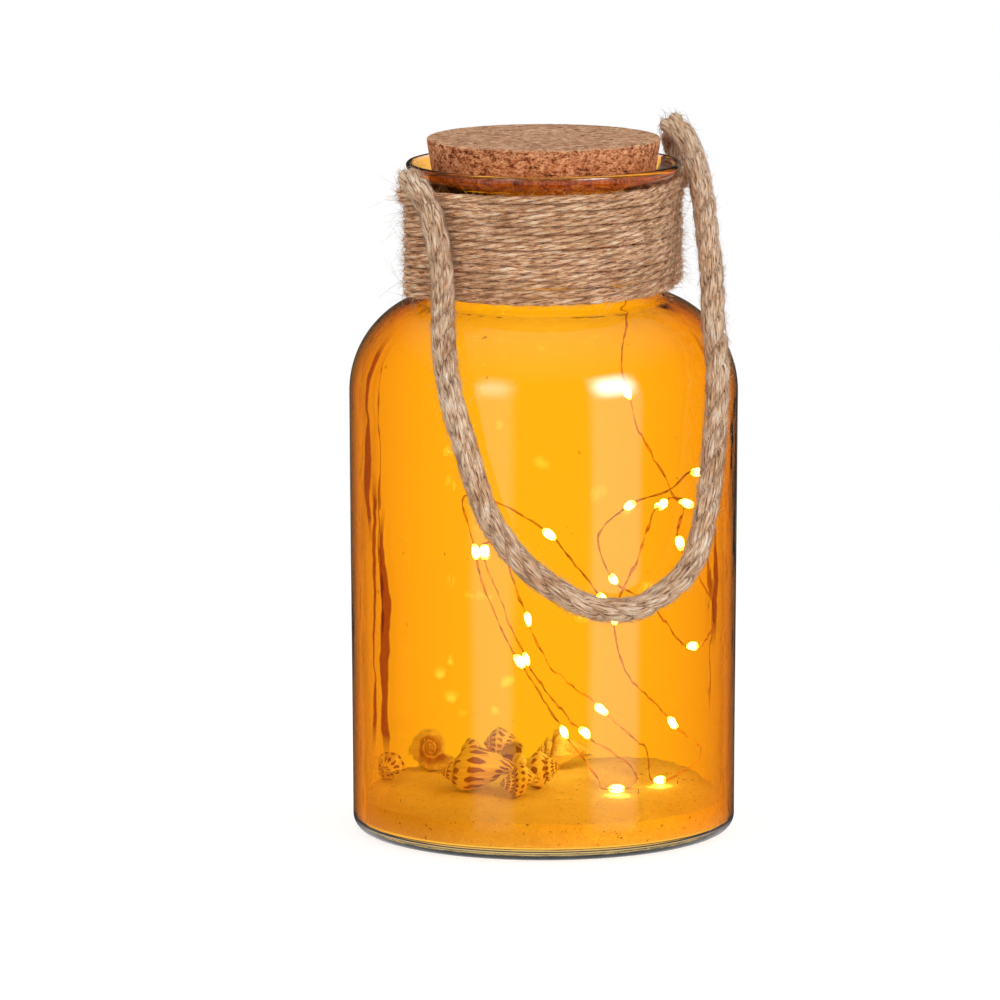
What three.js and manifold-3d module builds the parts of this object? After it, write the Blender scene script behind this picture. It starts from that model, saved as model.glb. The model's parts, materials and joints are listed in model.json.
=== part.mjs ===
// Jar light: an amber glass jar with a tapered cork, a twine-wound neck, a rope handle, a bed of sand
// with sea shells, and a string of small lights that hangs from a battery case set into the cork.
// Millimetres, Z up. The origin is the centre of the jar's foot, and the handle hangs towards -Y.
import * as THREE from "three";
import { mergeVertices } from "three/addons/utils/BufferGeometryUtils.js";
import Module from "manifold-3d";

const wasm = await Module();
wasm.setup();

// Clearance between pieces that touch in the real object.
const FIT = 0.3;

// Glass jar
const BODY_RADIUS = 60;
const BASE_RADIUS = 59.2;
const HEEL_ROUND = 4.5;
const BASE_THICKNESS = 3.6;
const GLASS_WALL = 3;
const SHOULDER_HEIGHT = 137;
const SHOULDER_ROUND = 31;
const NECK_RADIUS = 37;
const LIP_RADIUS = 42.4;
const LIP_EDGE = 2;
const LIP_HEIGHT = 8;
const RIM_HEIGHT = 208;
const ROUND_SIDES = 40;

// Cork
const CORK_TOP_RADIUS = 36;
const CORK_ABOVE_RIM = 7.5;
const CORK_LENGTH = 25;
const CORK_CHAMFER = 0.7;

// Twine wound on the neck, over the two ends of the rope
const TWINE_DIAMETER = 1.85;
const TWINE_GAP = 0.42;
const TWINE_SLACK = 0.65;

// Rope handle
const ROPE_DIAMETER = 7.5;
const ROPE_FOLD_DIAMETER = 6.8;
const ROPE_END_THICKNESS = 6.2;
const ROPE_END_WIDTH = 8.2;
const ROPE_END_LEAN = 0.5;
const ROPE_END_LEAN_HEIGHT = 5.5;

// Sand and shells
const SAND_LEVEL = 11.2;
const SAND_RIPPLE = 0.5;
const SAND_RIPPLE_X = 17;
const SAND_RIPPLE_Y = 14;
const SAND_RIPPLE_START = 0.6;
const SAND_MOUND = 2.4;
const SAND_MOUND_WIDTH = 13;
const SAND_MOUND_X = 48;
const SAND_MOUND_Y = 20;

// String of lights
const WIRE_DIAMETER = 0.7;
const LED_DIAMETER = 2.6;
const LED_LENGTH = 5.2;
const LED_TIP_DIAMETER = 2;
const LED_BARREL_LENGTH = 2.1;
const LED_WIRE_STRAIGHT = 0.6;
const LED_SIDES = 6;

// Battery case in the cork
const CELL_DIAMETER = 20;
const CELL_THICKNESS = 3.2;
const CASE_WALL = 1.6;
const CASE_LEDGE = 0.8;
const PLATE_THICKNESS = 1.2;
const CONTACT_THICKNESS = 0.4;
const CONTACT_LENGTH = 16;
const CONTACT_WIDTH = 8;
const LEAF_WIDTH = 6;
const BOARD_LENGTH = 19;
const BOARD_WIDTH = 22;
const BOARD_THICKNESS = 1.2;
const BOSS_LENGTH = 4;
const SCREW_RADIUS = 0.9;
const SCREW_HEAD_RADIUS = 1.7;
const SCREW_HEAD_HEIGHT = 0.8;
const SCREW_LENGTH = 6;
const SWITCH_INSET = 6.65;
const SWITCH_LENGTH = 4.4;
const SWITCH_WIDTH = 8.6;
const SWITCH_HEIGHT = 3.4;
const SLIDER_SIZE = 2.2;
const SLIDER_REACH = 1.2;
const SLIDER_TRAVEL = 3;
const GROMMET_RADIUS = 2;
const GROMMET_FLANGE = 2.8;
const GROMMET_FLANGE_HEIGHT = 0.7;
const GROMMET_X = 18.5;
const GROMMET_Y = -6;

const LED = true;

// The string's route from the board down to the last light, as x, y, z, and LED where a light sits.
const STRING_ROUTE = [
  [24, -9, 163.5],
  [22.5, -8, 143.5],
  [24.5, -9, 136, LED],
  [27, -14.5, 123.5],
  [31, -23, 109.5],
  [34.5, -29, 103.5, LED],
  [40.5, -36, 106],
  [31, -43, 115.5, LED],
  [23, -41.5, 110.5],
  [15, -31, 104.5, LED],
  [11.5, -14, 92.5],
  [21.5, -5.5, 77, LED],
  [36.5, -1.5, 67],
  [46.5, -10, 55, LED],
  [48.5, -22, 69],
  [42.5, -8.5, 87.5, LED],
  [48, 2.5, 99],
  [39, -2.5, 99, LED],
  [29, -8.5, 84.5],
  [20.5, -9.5, 66, LED],
  [24, -8.5, 49],
  [41.5, -5.5, 30.5, LED],
  [49.5, -11.5, 21.5],
  [35.5, -8.5, 13.5, LED],
  [38.5, 9, 20],
  [28.5, 18, 31.5, LED],
  [16, 25.5, 44],
  [9, 31, 60, LED],
  [2, 32, 77.5],
  [-5.5, 29, 85.5],
  [-9, 26, 83, LED],
  [-6, 20, 69],
  [2.5, 18.5, 49.5, LED],
  [16, 18, 31],
  [22.5, 18, 24.5, LED],
  [34.5, 10, 14.5],
  [17, -16.5, 13.5, LED],
  [20, 4, 14],
  [11, 8, 27.5, LED],
  [2, 8, 42],
  [-4.5, 8.5, 51, LED],
  [-15.5, 9, 72],
  [-19.5, 9, 86.5, LED],
  [-24.5, 6.5, 104],
  [-18.5, -7, 104],
  [-5, -15, 94.5, LED],
  [6, -13.5, 82],
  [14, -13, 72.5, LED],
];

// The rope's two folds, each from the end under the twine to the handle, and the handle between them.
const FOLD_LEFT_ROUTE = [
  [-43.8, -0.1, 202.3],
  [-45.3, -1, 204],
  [-46.8, -4.8, 205.2],
  [-47, -9.4, 203.6],
  [-46, -13.2, 200],
  [-45.2, -14, 197.8],
];
const FOLD_RIGHT_ROUTE = [
  [43.8, 0.1, 202.2],
  [45.5, 1.4, 204.4],
  [47, 4, 208.4],
  [45.6, 4.2, 213.8],
  [43.8, -0.5, 217.3],
  [44.4, -5.5, 215],
  [45.6, -9.5, 210],
  [45.9, -12.1, 206.4],
];
const HANDLE_ROUTE = [
  [-44.9, -14.3, 197],
  [-43.2, -15.4, 190],
  [-41.6, -16.4, 178.5],
  [-42.6, -19.6, 169],
  [-47.5, -31, 159.3],
  [-50, -42.3, 143],
  [-46.2, -44.7, 127.6],
  [-44.1, -46.7, 118.2],
  [-41, -49.3, 107.7],
  [-36.1, -53, 98.4],
  [-30.6, -56.3, 91.5],
  [-22.9, -59.8, 85.1],
  [-14.7, -62.3, 80.3],
  [-6.9, -63.6, 78.4],
  [1.7, -63.9, 78.5],
  [10.4, -63.1, 81.7],
  [18.3, -61.3, 86.4],
  [23.5, -59.6, 92.3],
  [26.4, -58.4, 99.6],
  [28.6, -57.4, 107.4],
  [31.4, -56.6, 127.1],
  [33, -55.1, 141],
  [34.6, -51.6, 151.2],
  [37.1, -43.5, 162],
  [40.3, -36, 173.3],
  [43, -27.4, 184.5],
  [45.4, -19.4, 194.3],
  [46.1, -15.3, 200.5],
  [45.9, -12.4, 205.7],
];

// How full a shell is, and how far its widest part lies towards the mouth and its spikes stand out.
const SHELL_FULLNESS = 0.85;
const SHELL_BELLY = 1.25;
const SHELL_SPIKE = 0.4;

// Sea shells: length along the spire, widest radius, whorls, depth of the groove between whorls, number of
// rows of spikes, and the way the spire points (degrees about Z, then upwards). On the sand, a shell in the
// heap has its x and y, and one by the back wall has its x and how far from the wall it lies.
const SHELLS = [
  {
    name: "shell_checkered",
    length: 10, radius: 4, whorls: 3, groove: 0.14, spikes: 0,
    x: -38.4, fromWall: 4.9, turn: 60, rise: 0,
  },
  {
    name: "shell_turban",
    length: 11, radius: 6.6, whorls: 3, groove: 0.18, spikes: 0,
    x: -20.3, fromWall: 9.4, turn: -112, rise: 8,
  },
  {
    name: "shell_spotted",
    length: 10, radius: 4.2, whorls: 3, groove: 0.12, spikes: 0,
    x: -4.4, fromWall: 8.9, turn: 10, rise: 0,
  },
  {
    name: "shell_domed",
    length: 11, radius: 4.6, whorls: 2, groove: 0.1, spikes: 0,
    x: 6.4, fromWall: 10.3, turn: 160, rise: 0,
  },
  {
    name: "shell_conch",
    length: 25, radius: 6.3, whorls: 4, groove: 0.14, spikes: 0,
    x: -16.9, y: 9.9, turn: 150, rise: 0,
  },
  {
    name: "shell_cone",
    length: 12, radius: 4.5, whorls: 3, groove: 0.12, spikes: 0,
    x: -10.8, y: -6.1, turn: 172, rise: 0,
  },
  {
    name: "shell_barred",
    length: 11, radius: 4.7, whorls: 3, groove: 0.12, spikes: 0,
    x: 1.4, y: 3.6, turn: -30, rise: 12,
  },
  {
    name: "shell_murex",
    length: 17, radius: 4.6, whorls: 3, groove: 0.16, spikes: 5,
    x: 22.4, y: 32.2, turn: 165, rise: 6,
  },
  {
    name: "shell_pale",
    length: 7, radius: 2.4, whorls: 3, groove: 0.12, spikes: 0,
    x: 7.6, y: 33.4, turn: 40, rise: 0,
  },
];

// Heights and sizes that follow from the values above.
const FLOOR_RADIUS = BASE_RADIUS - GLASS_WALL;
const NECK_INSIDE = NECK_RADIUS - GLASS_WALL;
const NECK_TOP = RIM_HEIGHT - LIP_HEIGHT;
const SHOULDER_CENTRE = BODY_RADIUS - SHOULDER_ROUND;
const NECK_ANGLE = Math.acos((NECK_RADIUS - SHOULDER_CENTRE) / SHOULDER_ROUND);
const NECK_BOTTOM = SHOULDER_HEIGHT + SHOULDER_ROUND * Math.sin(NECK_ANGLE);
const CORK_TOP = RIM_HEIGHT + CORK_ABOVE_RIM;
const CORK_BOTTOM = CORK_TOP - CORK_LENGTH;
const TWINE_PITCH = TWINE_DIAMETER + TWINE_GAP;
const TWINE_TOP = NECK_TOP + TWINE_DIAMETER / 2;
const TWINE_TURNS = Math.floor((TWINE_TOP - TWINE_DIAMETER - NECK_BOTTOM) / TWINE_PITCH);
const TWINE_BOTTOM = TWINE_TOP - TWINE_DIAMETER - TWINE_TURNS * TWINE_PITCH;
const ROPE_END_TOP = TWINE_TOP;
const ROPE_END_RADIUS = NECK_RADIUS + FIT + ROPE_END_THICKNESS / 2;

const CELL_BAY = CELL_DIAMETER + 3 * FIT + CONTACT_THICKNESS;
const BOARD_BAY = BOARD_LENGTH + 2 * FIT;
const CASE_LENGTH = BOSS_LENGTH + CELL_BAY + CASE_WALL + BOARD_BAY + CASE_WALL;
const CASE_WIDTH = Math.max(CELL_DIAMETER, BOARD_WIDTH) + 2 * FIT + 2 * CASE_WALL;
const CASE_INSIDE = 2 * CELL_THICKNESS + CONTACT_THICKNESS + 4 * FIT;
const CASE_LEFT = -CASE_LENGTH / 2;
const CELL_BAY_LEFT = CASE_LEFT + BOSS_LENGTH;
const CELL_BAY_RIGHT = CELL_BAY_LEFT + CELL_BAY;
const BOARD_BAY_LEFT = CELL_BAY_RIGHT + CASE_WALL;
const CELL_X = CELL_BAY_LEFT + FIT + CELL_DIAMETER / 2;
const PLATE_SPLIT = CELL_BAY_RIGHT + CASE_WALL / 2;
const LEDGE_HEIGHT = CORK_BOTTOM + PLATE_THICKNESS + FIT;
const ROOF_HEIGHT = LEDGE_HEIGHT + CASE_INSIDE;
const CASE_TOP = ROOF_HEIGHT + CASE_WALL;
const SCREW_X = CASE_LEFT + CASE_LEDGE + (BOSS_LENGTH - CASE_LEDGE) / 2;
const BOARD_BOTTOM = ROOF_HEIGHT - FIT - BOARD_THICKNESS;
const SWITCH_X = BOARD_BAY_LEFT + FIT + SWITCH_INSET;
const SLIDER_Y = -SLIDER_TRAVEL / 2;

const FINISHES = {
  glass: { color: 0xe07a12, roughness: 0.06, metalness: 0, transparent: true, opacity: 0.45 },
  cork: { color: 0xb98352, roughness: 0.85, metalness: 0 },
  jute: { color: 0xa9834f, roughness: 0.95, metalness: 0 },
  rope: { color: 0xb08a56, roughness: 0.95, metalness: 0 },
  sand: { color: 0xd9a860, roughness: 1, metalness: 0 },
  shell: { color: 0xe8d3ac, roughness: 0.4, metalness: 0 },
  copper: { color: 0xc8803c, roughness: 0.3, metalness: 1 },
  led: { color: 0xfff3c8, roughness: 0.15, metalness: 0 },
  plastic: { color: 0x1d1d1f, roughness: 0.5, metalness: 0 },
  cell: { color: 0xc9ccd0, roughness: 0.25, metalness: 1 },
  contact: { color: 0xd8d2b8, roughness: 0.3, metalness: 1 },
  board: { color: 0x2f6b3c, roughness: 0.5, metalness: 0 },
  slider: { color: 0xe6e6e4, roughness: 0.5, metalness: 0 },
  grommet: { color: 0x2a2a2a, roughness: 0.8, metalness: 0 },
  screw: { color: 0xb8bcc2, roughness: 0.3, metalness: 1 },
};

const root = new THREE.Group();
root.name = "led_jar_light";

function addPiece(name, geometry, finish) {
  const mesh = new THREE.Mesh(geometry, new THREE.MeshStandardMaterial(FINISHES[finish]));
  mesh.name = name;
  root.add(mesh);
  return mesh;
}

// Solid joining and cutting.
function toSolid(geometry) {
  const bare = geometry.clone();
  bare.deleteAttribute("normal");
  bare.deleteAttribute("uv");
  const merged = mergeVertices(bare, 1e-4);
  return new wasm.Manifold(
    new wasm.Mesh({
      numProp: 3,
      vertProperties: merged.getAttribute("position").array,
      triVerts: new Uint32Array(merged.index.array),
    }),
  );
}

function toGeometry(made) {
  const mesh = made.getMesh();
  const geometry = new THREE.BufferGeometry();
  geometry.setAttribute("position", new THREE.BufferAttribute(mesh.vertProperties, 3));
  geometry.setIndex(new THREE.BufferAttribute(mesh.triVerts, 1));
  return geometry;
}

function cut(geometry, ...tools) {
  return toGeometry(tools.reduce((made, tool) => made.subtract(toSolid(tool)), toSolid(geometry)));
}

function join(geometry, ...others) {
  return toGeometry(others.reduce((made, other) => made.add(toSolid(other)), toSolid(geometry)));
}

// Basic shapes.
function box(x0, x1, y0, y1, z0, z1) {
  const geometry = new THREE.BoxGeometry(x1 - x0, y1 - y0, z1 - z0);
  return geometry.translate((x0 + x1) / 2, (y0 + y1) / 2, (z0 + z1) / 2);
}

function lathe(profile, sides) {
  const points = profile.map(([r, z]) => new THREE.Vector2(r, z));
  return new THREE.LatheGeometry(points, sides).rotateX(Math.PI / 2);
}

function post(radius, z0, z1, x, y, sides) {
  const profile = [
    [0, z0],
    [radius, z0],
    [radius, z1],
    [0, z1],
  ];
  return lathe(profile, sides).translate(x, y, 0);
}

// A route that runs straight from each point of a list to the next.
class PointRoute extends THREE.Curve {
  constructor(points) {
    super();
    this.points = points;
  }

  getPoint(t, target = new THREE.Vector3()) {
    const place = t * (this.points.length - 1);
    const i = Math.min(Math.floor(place), this.points.length - 2);
    return target.lerpVectors(this.points[i], this.points[i + 1], place - i);
  }

  getUtoTmapping(u) {
    return u;
  }
}

function tube(points, halfWidth, halfThickness, sides) {
  const outline = [];
  for (let i = 0; i < sides; i++) {
    const a = (2 * Math.PI * i) / sides;
    outline.push(new THREE.Vector2(halfWidth * Math.cos(a), halfThickness * Math.sin(a)));
  }
  return new THREE.ExtrudeGeometry(new THREE.Shape(outline), {
    steps: points.length - 1,
    extrudePath: new PointRoute(points),
    bevelEnabled: false,
  });
}

function smoothCurve(route) {
  return new THREE.CatmullRomCurve3(
    route.map(([x, y, z]) => new THREE.Vector3(x, y, z)),
    false,
    "centripetal",
  );
}

function smoothstep(s) {
  return s * s * (3 - 2 * s);
}

// Glass jar: up the outside, over the flared lip and down the inside.
function jarProfile() {
  const profile = [[0, 0]];
  for (let i = 0; i <= 3; i++) {
    const a = (Math.PI / 2) * (i / 3);
    profile.push([BASE_RADIUS - HEEL_ROUND * (1 - Math.sin(a)), HEEL_ROUND * (1 - Math.cos(a))]);
  }
  for (let i = 0; i <= 7; i++) {
    const a = NECK_ANGLE * (i / 7);
    profile.push([
      SHOULDER_CENTRE + SHOULDER_ROUND * Math.cos(a),
      SHOULDER_HEIGHT + SHOULDER_ROUND * Math.sin(a),
    ]);
  }
  const flare = LIP_HEIGHT - LIP_EDGE / 2;
  for (let i = 0; i <= 5; i++) {
    const s = i / 5;
    profile.push([NECK_RADIUS + (LIP_RADIUS - NECK_RADIUS) * smoothstep(s), NECK_TOP + flare * s]);
  }
  profile.push([LIP_RADIUS - LIP_EDGE / 2, RIM_HEIGHT]);
  for (let i = 5; i >= 0; i--) {
    const s = i / 5;
    const edge = LIP_RADIUS - LIP_EDGE - NECK_INSIDE;
    profile.push([NECK_INSIDE + edge * smoothstep(s), NECK_TOP + flare * s]);
  }
  const insideRound = SHOULDER_ROUND - GLASS_WALL;
  const insideAngle = Math.acos((NECK_INSIDE - SHOULDER_CENTRE) / insideRound);
  for (let i = 5; i >= 0; i--) {
    const a = insideAngle * (i / 5);
    profile.push([
      SHOULDER_CENTRE + insideRound * Math.cos(a),
      SHOULDER_HEIGHT + insideRound * Math.sin(a),
    ]);
  }
  profile.push(...floorCorner(0));
  profile.push([0, BASE_THICKNESS]);
  return profile;
}

// The rounded inside corner of the jar's floor, from the wall to the floor, drawn in by a gap.
function floorCorner(gap) {
  const corner = [];
  for (let i = 0; i <= 3; i++) {
    const a = (Math.PI / 2) * (i / 3);
    corner.push([
      FLOOR_RADIUS - HEEL_ROUND + (HEEL_ROUND - gap) * Math.cos(a),
      BASE_THICKNESS + HEEL_ROUND - (HEEL_ROUND - gap) * Math.sin(a),
    ]);
  }
  return corner;
}

addPiece("glass_jar", lathe(jarProfile(), ROUND_SIDES), "glass");

// Twine: each turn runs round the neck and over the two rope ends, in one unbroken winding.
function ropeEndDistance(z) {
  return ROPE_END_RADIUS + ROPE_END_LEAN * Math.max(0, z - (ROPE_END_TOP - ROPE_END_LEAN_HEIGHT));
}

function twineReach(angle, z) {
  const offset = TWINE_DIAMETER / 2 + FIT + TWINE_SLACK;
  const thick = ROPE_END_THICKNESS / 2;
  const wide = ROPE_END_WIDTH / 2;
  let reach = Infinity;
  for (let d = -80; d <= 80; d++) {
    const a = angle + (d * Math.PI) / 180;
    const along = Math.abs(Math.cos(a));
    const across = Math.sin(a);
    const overRope = ropeEndDistance(z) * along + Math.hypot(thick * along, wide * across);
    const wall = Math.max(NECK_RADIUS, overRope) + offset;
    reach = Math.min(reach, wall / Math.cos((d * Math.PI) / 180));
  }
  return reach;
}

const TURN_STEPS = [0, 8, 19, 33, 52, 71, 90, 109, 128, 147, 161, 172];

function twinePoints() {
  const points = [];
  for (let turn = 0; turn < TWINE_TURNS; turn++) {
    for (let half = 0; half < 2; half++) {
      for (const step of TURN_STEPS) {
        const degrees = half * 180 + step;
        const a = (degrees * Math.PI) / 180;
        const z = TWINE_BOTTOM + TWINE_PITCH * (turn + degrees / 360) + TWINE_DIAMETER / 2;
        const r = twineReach(a, z);
        points.push(new THREE.Vector3(r * Math.cos(a), r * Math.sin(a), z));
      }
    }
  }
  return points;
}

// The least clear space between one turn and the next.
function twineSpace(points) {
  const perTurn = 2 * TURN_STEPS.length;
  let space = Infinity;
  for (let i = 0; i + perTurn < points.length; i++) {
    for (let j = i + perTurn - 2; j < Math.min(i + perTurn + 3, points.length); j++) {
      space = Math.min(space, points[i].distanceTo(points[j]));
    }
  }
  return space - TWINE_DIAMETER;
}

const twine = twinePoints();
console.log(TWINE_TURNS + " turns of twine, least space " + twineSpace(twine).toFixed(3) + " mm");
addPiece("neck_twine", tube(twine, TWINE_DIAMETER / 2, TWINE_DIAMETER / 2, 6), "jute");

// Rope: the two flattened ends under the twine, the folds above them, and the handle.
function ropeEnd(side) {
  const bottom = TWINE_BOTTOM + TWINE_DIAMETER / 2;
  const heights = [bottom, (bottom + ROPE_END_TOP) / 2];
  for (let i = 0; i <= 3; i++) {
    heights.push(ROPE_END_TOP - ROPE_END_LEAN_HEIGHT * (1 - i / 3));
  }
  const points = heights.map((z) => new THREE.Vector3(side * ropeEndDistance(z), 0, z));
  return tube(points, ROPE_END_WIDTH / 2, ROPE_END_THICKNESS / 2, 12);
}

addPiece("rope_end_left", ropeEnd(-1), "rope");
addPiece("rope_end_right", ropeEnd(1), "rope");

function ropeTube(route, diameter, steps) {
  return tube(smoothCurve(route).getSpacedPoints(steps), diameter / 2, diameter / 2, 10);
}

addPiece("rope_fold_left", ropeTube(FOLD_LEFT_ROUTE, ROPE_FOLD_DIAMETER, 9), "rope");
addPiece("rope_fold_right", ropeTube(FOLD_RIGHT_ROUTE, ROPE_FOLD_DIAMETER, 11), "rope");
addPiece("handle_rope", ropeTube(HANDLE_ROUTE, ROPE_DIAMETER, 44), "rope");

// Sand: a shallow rippled bed with a low mound by the wall.
function sandTop(x, y) {
  const ripple = Math.sin(x / SAND_RIPPLE_X + SAND_RIPPLE_START) * Math.cos(y / SAND_RIPPLE_Y);
  const away = Math.hypot(x - SAND_MOUND_X, y - SAND_MOUND_Y) / SAND_MOUND_WIDTH;
  return SAND_LEVEL + SAND_RIPPLE * ripple + SAND_MOUND * Math.exp((-away * away) / 2);
}

function sandBed() {
  const wall = floorCorner(FIT).reverse();
  const edge = wall[wall.length - 1][0];
  const top = [0.999, 0.86, 0.7, 0.52, 0.34, 0.17, 0].map((share) => [edge * share, SAND_LEVEL]);
  const profile = [[0, BASE_THICKNESS + FIT], ...wall, [edge, SAND_LEVEL], ...top];
  const geometry = lathe(profile, ROUND_SIDES);
  const place = geometry.getAttribute("position");
  for (let i = 0; i < place.count; i++) {
    if (place.getZ(i) > SAND_LEVEL - 1e-3) place.setZ(i, sandTop(place.getX(i), place.getY(i)));
  }
  return geometry;
}

addPiece("sand_bed", sandBed(), "sand");

// A shell is widest at its body whorl, with a groove that winds down from the spire.
function shellGeometry(shell) {
  const geometry = new THREE.SphereGeometry(1, 14, 11);
  const place = geometry.getAttribute("position");
  for (let i = 0; i < place.count; i++) {
    const y = place.getY(i);
    const a = Math.atan2(place.getZ(i), place.getX(i));
    const down = (1 - y) / 2;
    const envelope = Math.max(0, Math.sin(Math.PI * down ** SHELL_BELLY)) ** SHELL_FULLNESS;
    const winding = Math.cos(Math.PI * (shell.whorls * down - a / (2 * Math.PI))) ** 2;
    const spike = shell.spikes ? SHELL_SPIKE * Math.max(0, Math.cos(shell.spikes * a)) * envelope : 0;
    const r = shell.radius * envelope * (1 - shell.groove * winding ** 3 + spike);
    place.setXYZ(i, r * Math.cos(a), (shell.length * y) / 2, r * Math.sin(a));
  }
  geometry.rotateZ(-Math.PI / 2);
  geometry.rotateY((-shell.rise * Math.PI) / 180);
  geometry.rotateZ((shell.turn * Math.PI) / 180);
  geometry.translate(shell.x, shell.y ?? Math.sqrt((FLOOR_RADIUS - shell.fromWall) ** 2 - shell.x ** 2), 0);
  let drop = Infinity;
  for (let i = 0; i < place.count; i++) {
    drop = Math.min(drop, place.getZ(i) - sandTop(place.getX(i), place.getY(i)));
  }
  return geometry.translate(0, 0, FIT - drop);
}

for (const shell of SHELLS) {
  addPiece(shell.name, shellGeometry(shell), "shell");
}

// Cork, with a pocket in its underside for the battery case.
function corkRadius(z) {
  const slope = (CORK_TOP_RADIUS - (NECK_INSIDE - FIT)) / (CORK_TOP - NECK_TOP);
  return CORK_TOP_RADIUS - slope * (CORK_TOP - z);
}

const corkBody = lathe(
  [
    [0, CORK_BOTTOM],
    [corkRadius(CORK_BOTTOM) - CORK_CHAMFER, CORK_BOTTOM],
    [corkRadius(CORK_BOTTOM + CORK_CHAMFER), CORK_BOTTOM + CORK_CHAMFER],
    [corkRadius(CORK_TOP - CORK_CHAMFER), CORK_TOP - CORK_CHAMFER],
    [CORK_TOP_RADIUS - CORK_CHAMFER, CORK_TOP],
    [0, CORK_TOP],
  ],
  ROUND_SIDES,
);
const pocket = box(
  CASE_LEFT - FIT,
  -CASE_LEFT + FIT,
  -CASE_WIDTH / 2 - FIT,
  CASE_WIDTH / 2 + FIT,
  CORK_BOTTOM - 1,
  CASE_TOP + FIT,
);
addPiece("cork_lid", cut(corkBody, pocket), "cork");

// Battery case: a tray that opens downwards, with a bay for the cells and a bay for the board.
const recess = box(
  CASE_LEFT + CASE_LEDGE,
  -CASE_LEFT - CASE_LEDGE,
  -CASE_WIDTH / 2 + CASE_LEDGE,
  CASE_WIDTH / 2 - CASE_LEDGE,
  CORK_BOTTOM - 1,
  LEDGE_HEIGHT,
);
const bayHalf = CASE_WIDTH / 2 - CASE_WALL;
const cellBay = box(CELL_BAY_LEFT, CELL_BAY_RIGHT, -bayHalf, bayHalf, CORK_BOTTOM - 1, ROOF_HEIGHT);
const boardBay = box(
  BOARD_BAY_LEFT,
  BOARD_BAY_LEFT + BOARD_BAY,
  -bayHalf,
  bayHalf,
  CORK_BOTTOM - 1,
  ROOF_HEIGHT,
);
const bossHole = post(SCREW_RADIUS + FIT, CORK_BOTTOM - 1, LEDGE_HEIGHT + SCREW_LENGTH, SCREW_X, 0, 12);
const tray = box(CASE_LEFT, -CASE_LEFT, -CASE_WIDTH / 2, CASE_WIDTH / 2, CORK_BOTTOM, CASE_TOP);
addPiece("battery_case", cut(tray, recess, cellBay, boardBay, bossHole), "plastic");

const plateHalf = CASE_WIDTH / 2 - CASE_LEDGE - FIT;
const plateTop = CORK_BOTTOM + PLATE_THICKNESS;
const doorPlate = box(
  CASE_LEFT + CASE_LEDGE + FIT,
  PLATE_SPLIT - FIT / 2,
  -plateHalf,
  plateHalf,
  CORK_BOTTOM,
  plateTop,
);
const doorHole = post(SCREW_RADIUS + FIT, CORK_BOTTOM - 1, plateTop + 1, SCREW_X, 0, 12);
addPiece("battery_door", cut(doorPlate, doorHole), "plastic");

const headTop = CORK_BOTTOM - FIT;
const screwProfile = [
  [0, headTop - SCREW_HEAD_HEIGHT],
  [SCREW_HEAD_RADIUS, headTop - SCREW_HEAD_HEIGHT],
  [SCREW_HEAD_RADIUS, headTop],
  [SCREW_RADIUS, headTop],
  [SCREW_RADIUS, headTop + SCREW_LENGTH],
  [0, headTop + SCREW_LENGTH],
];
addPiece("door_screw", lathe(screwProfile, 12).translate(SCREW_X, 0, 0), "screw");

const coverPlate = box(
  PLATE_SPLIT + FIT / 2,
  -CASE_LEFT - CASE_LEDGE - FIT,
  -plateHalf,
  plateHalf,
  CORK_BOTTOM,
  plateTop,
);
const slotHalf = SLIDER_SIZE / 2 + FIT;
const slot = box(
  SWITCH_X - slotHalf,
  SWITCH_X + slotHalf,
  SLIDER_Y - slotHalf,
  SLIDER_Y + SLIDER_TRAVEL + slotHalf,
  CORK_BOTTOM - 1,
  plateTop + 1,
);
const wireHole = post(GROMMET_RADIUS + FIT, CORK_BOTTOM - 1, plateTop + 1, GROMMET_X, GROMMET_Y, 16);
addPiece("switch_cover", cut(coverPlate, slot, wireHole), "plastic");

// Two coin cells, one on the other, between a contact on the roof and a leaf at the side.
const lowerCell = LEDGE_HEIGHT + FIT;
const upperCell = lowerCell + CELL_THICKNESS + FIT;
const cellRadius = CELL_DIAMETER / 2;
addPiece("coin_cell_lower", post(cellRadius, lowerCell, lowerCell + CELL_THICKNESS, CELL_X, 0, 28), "cell");
addPiece("coin_cell_upper", post(cellRadius, upperCell, upperCell + CELL_THICKNESS, CELL_X, 0, 28), "cell");
const roofContact = ROOF_HEIGHT - FIT - CONTACT_THICKNESS;
addPiece(
  "contact_roof",
  box(
    CELL_X - CONTACT_LENGTH / 2,
    CELL_X + CONTACT_LENGTH / 2,
    -CONTACT_WIDTH / 2,
    CONTACT_WIDTH / 2,
    roofContact,
    ROOF_HEIGHT - FIT,
  ),
  "contact",
);
const leafLeft = CELL_X + cellRadius + FIT;
addPiece(
  "contact_side",
  box(
    leafLeft,
    leafLeft + CONTACT_THICKNESS,
    -LEAF_WIDTH / 2,
    LEAF_WIDTH / 2,
    lowerCell,
    upperCell + CELL_THICKNESS,
  ),
  "contact",
);

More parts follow.
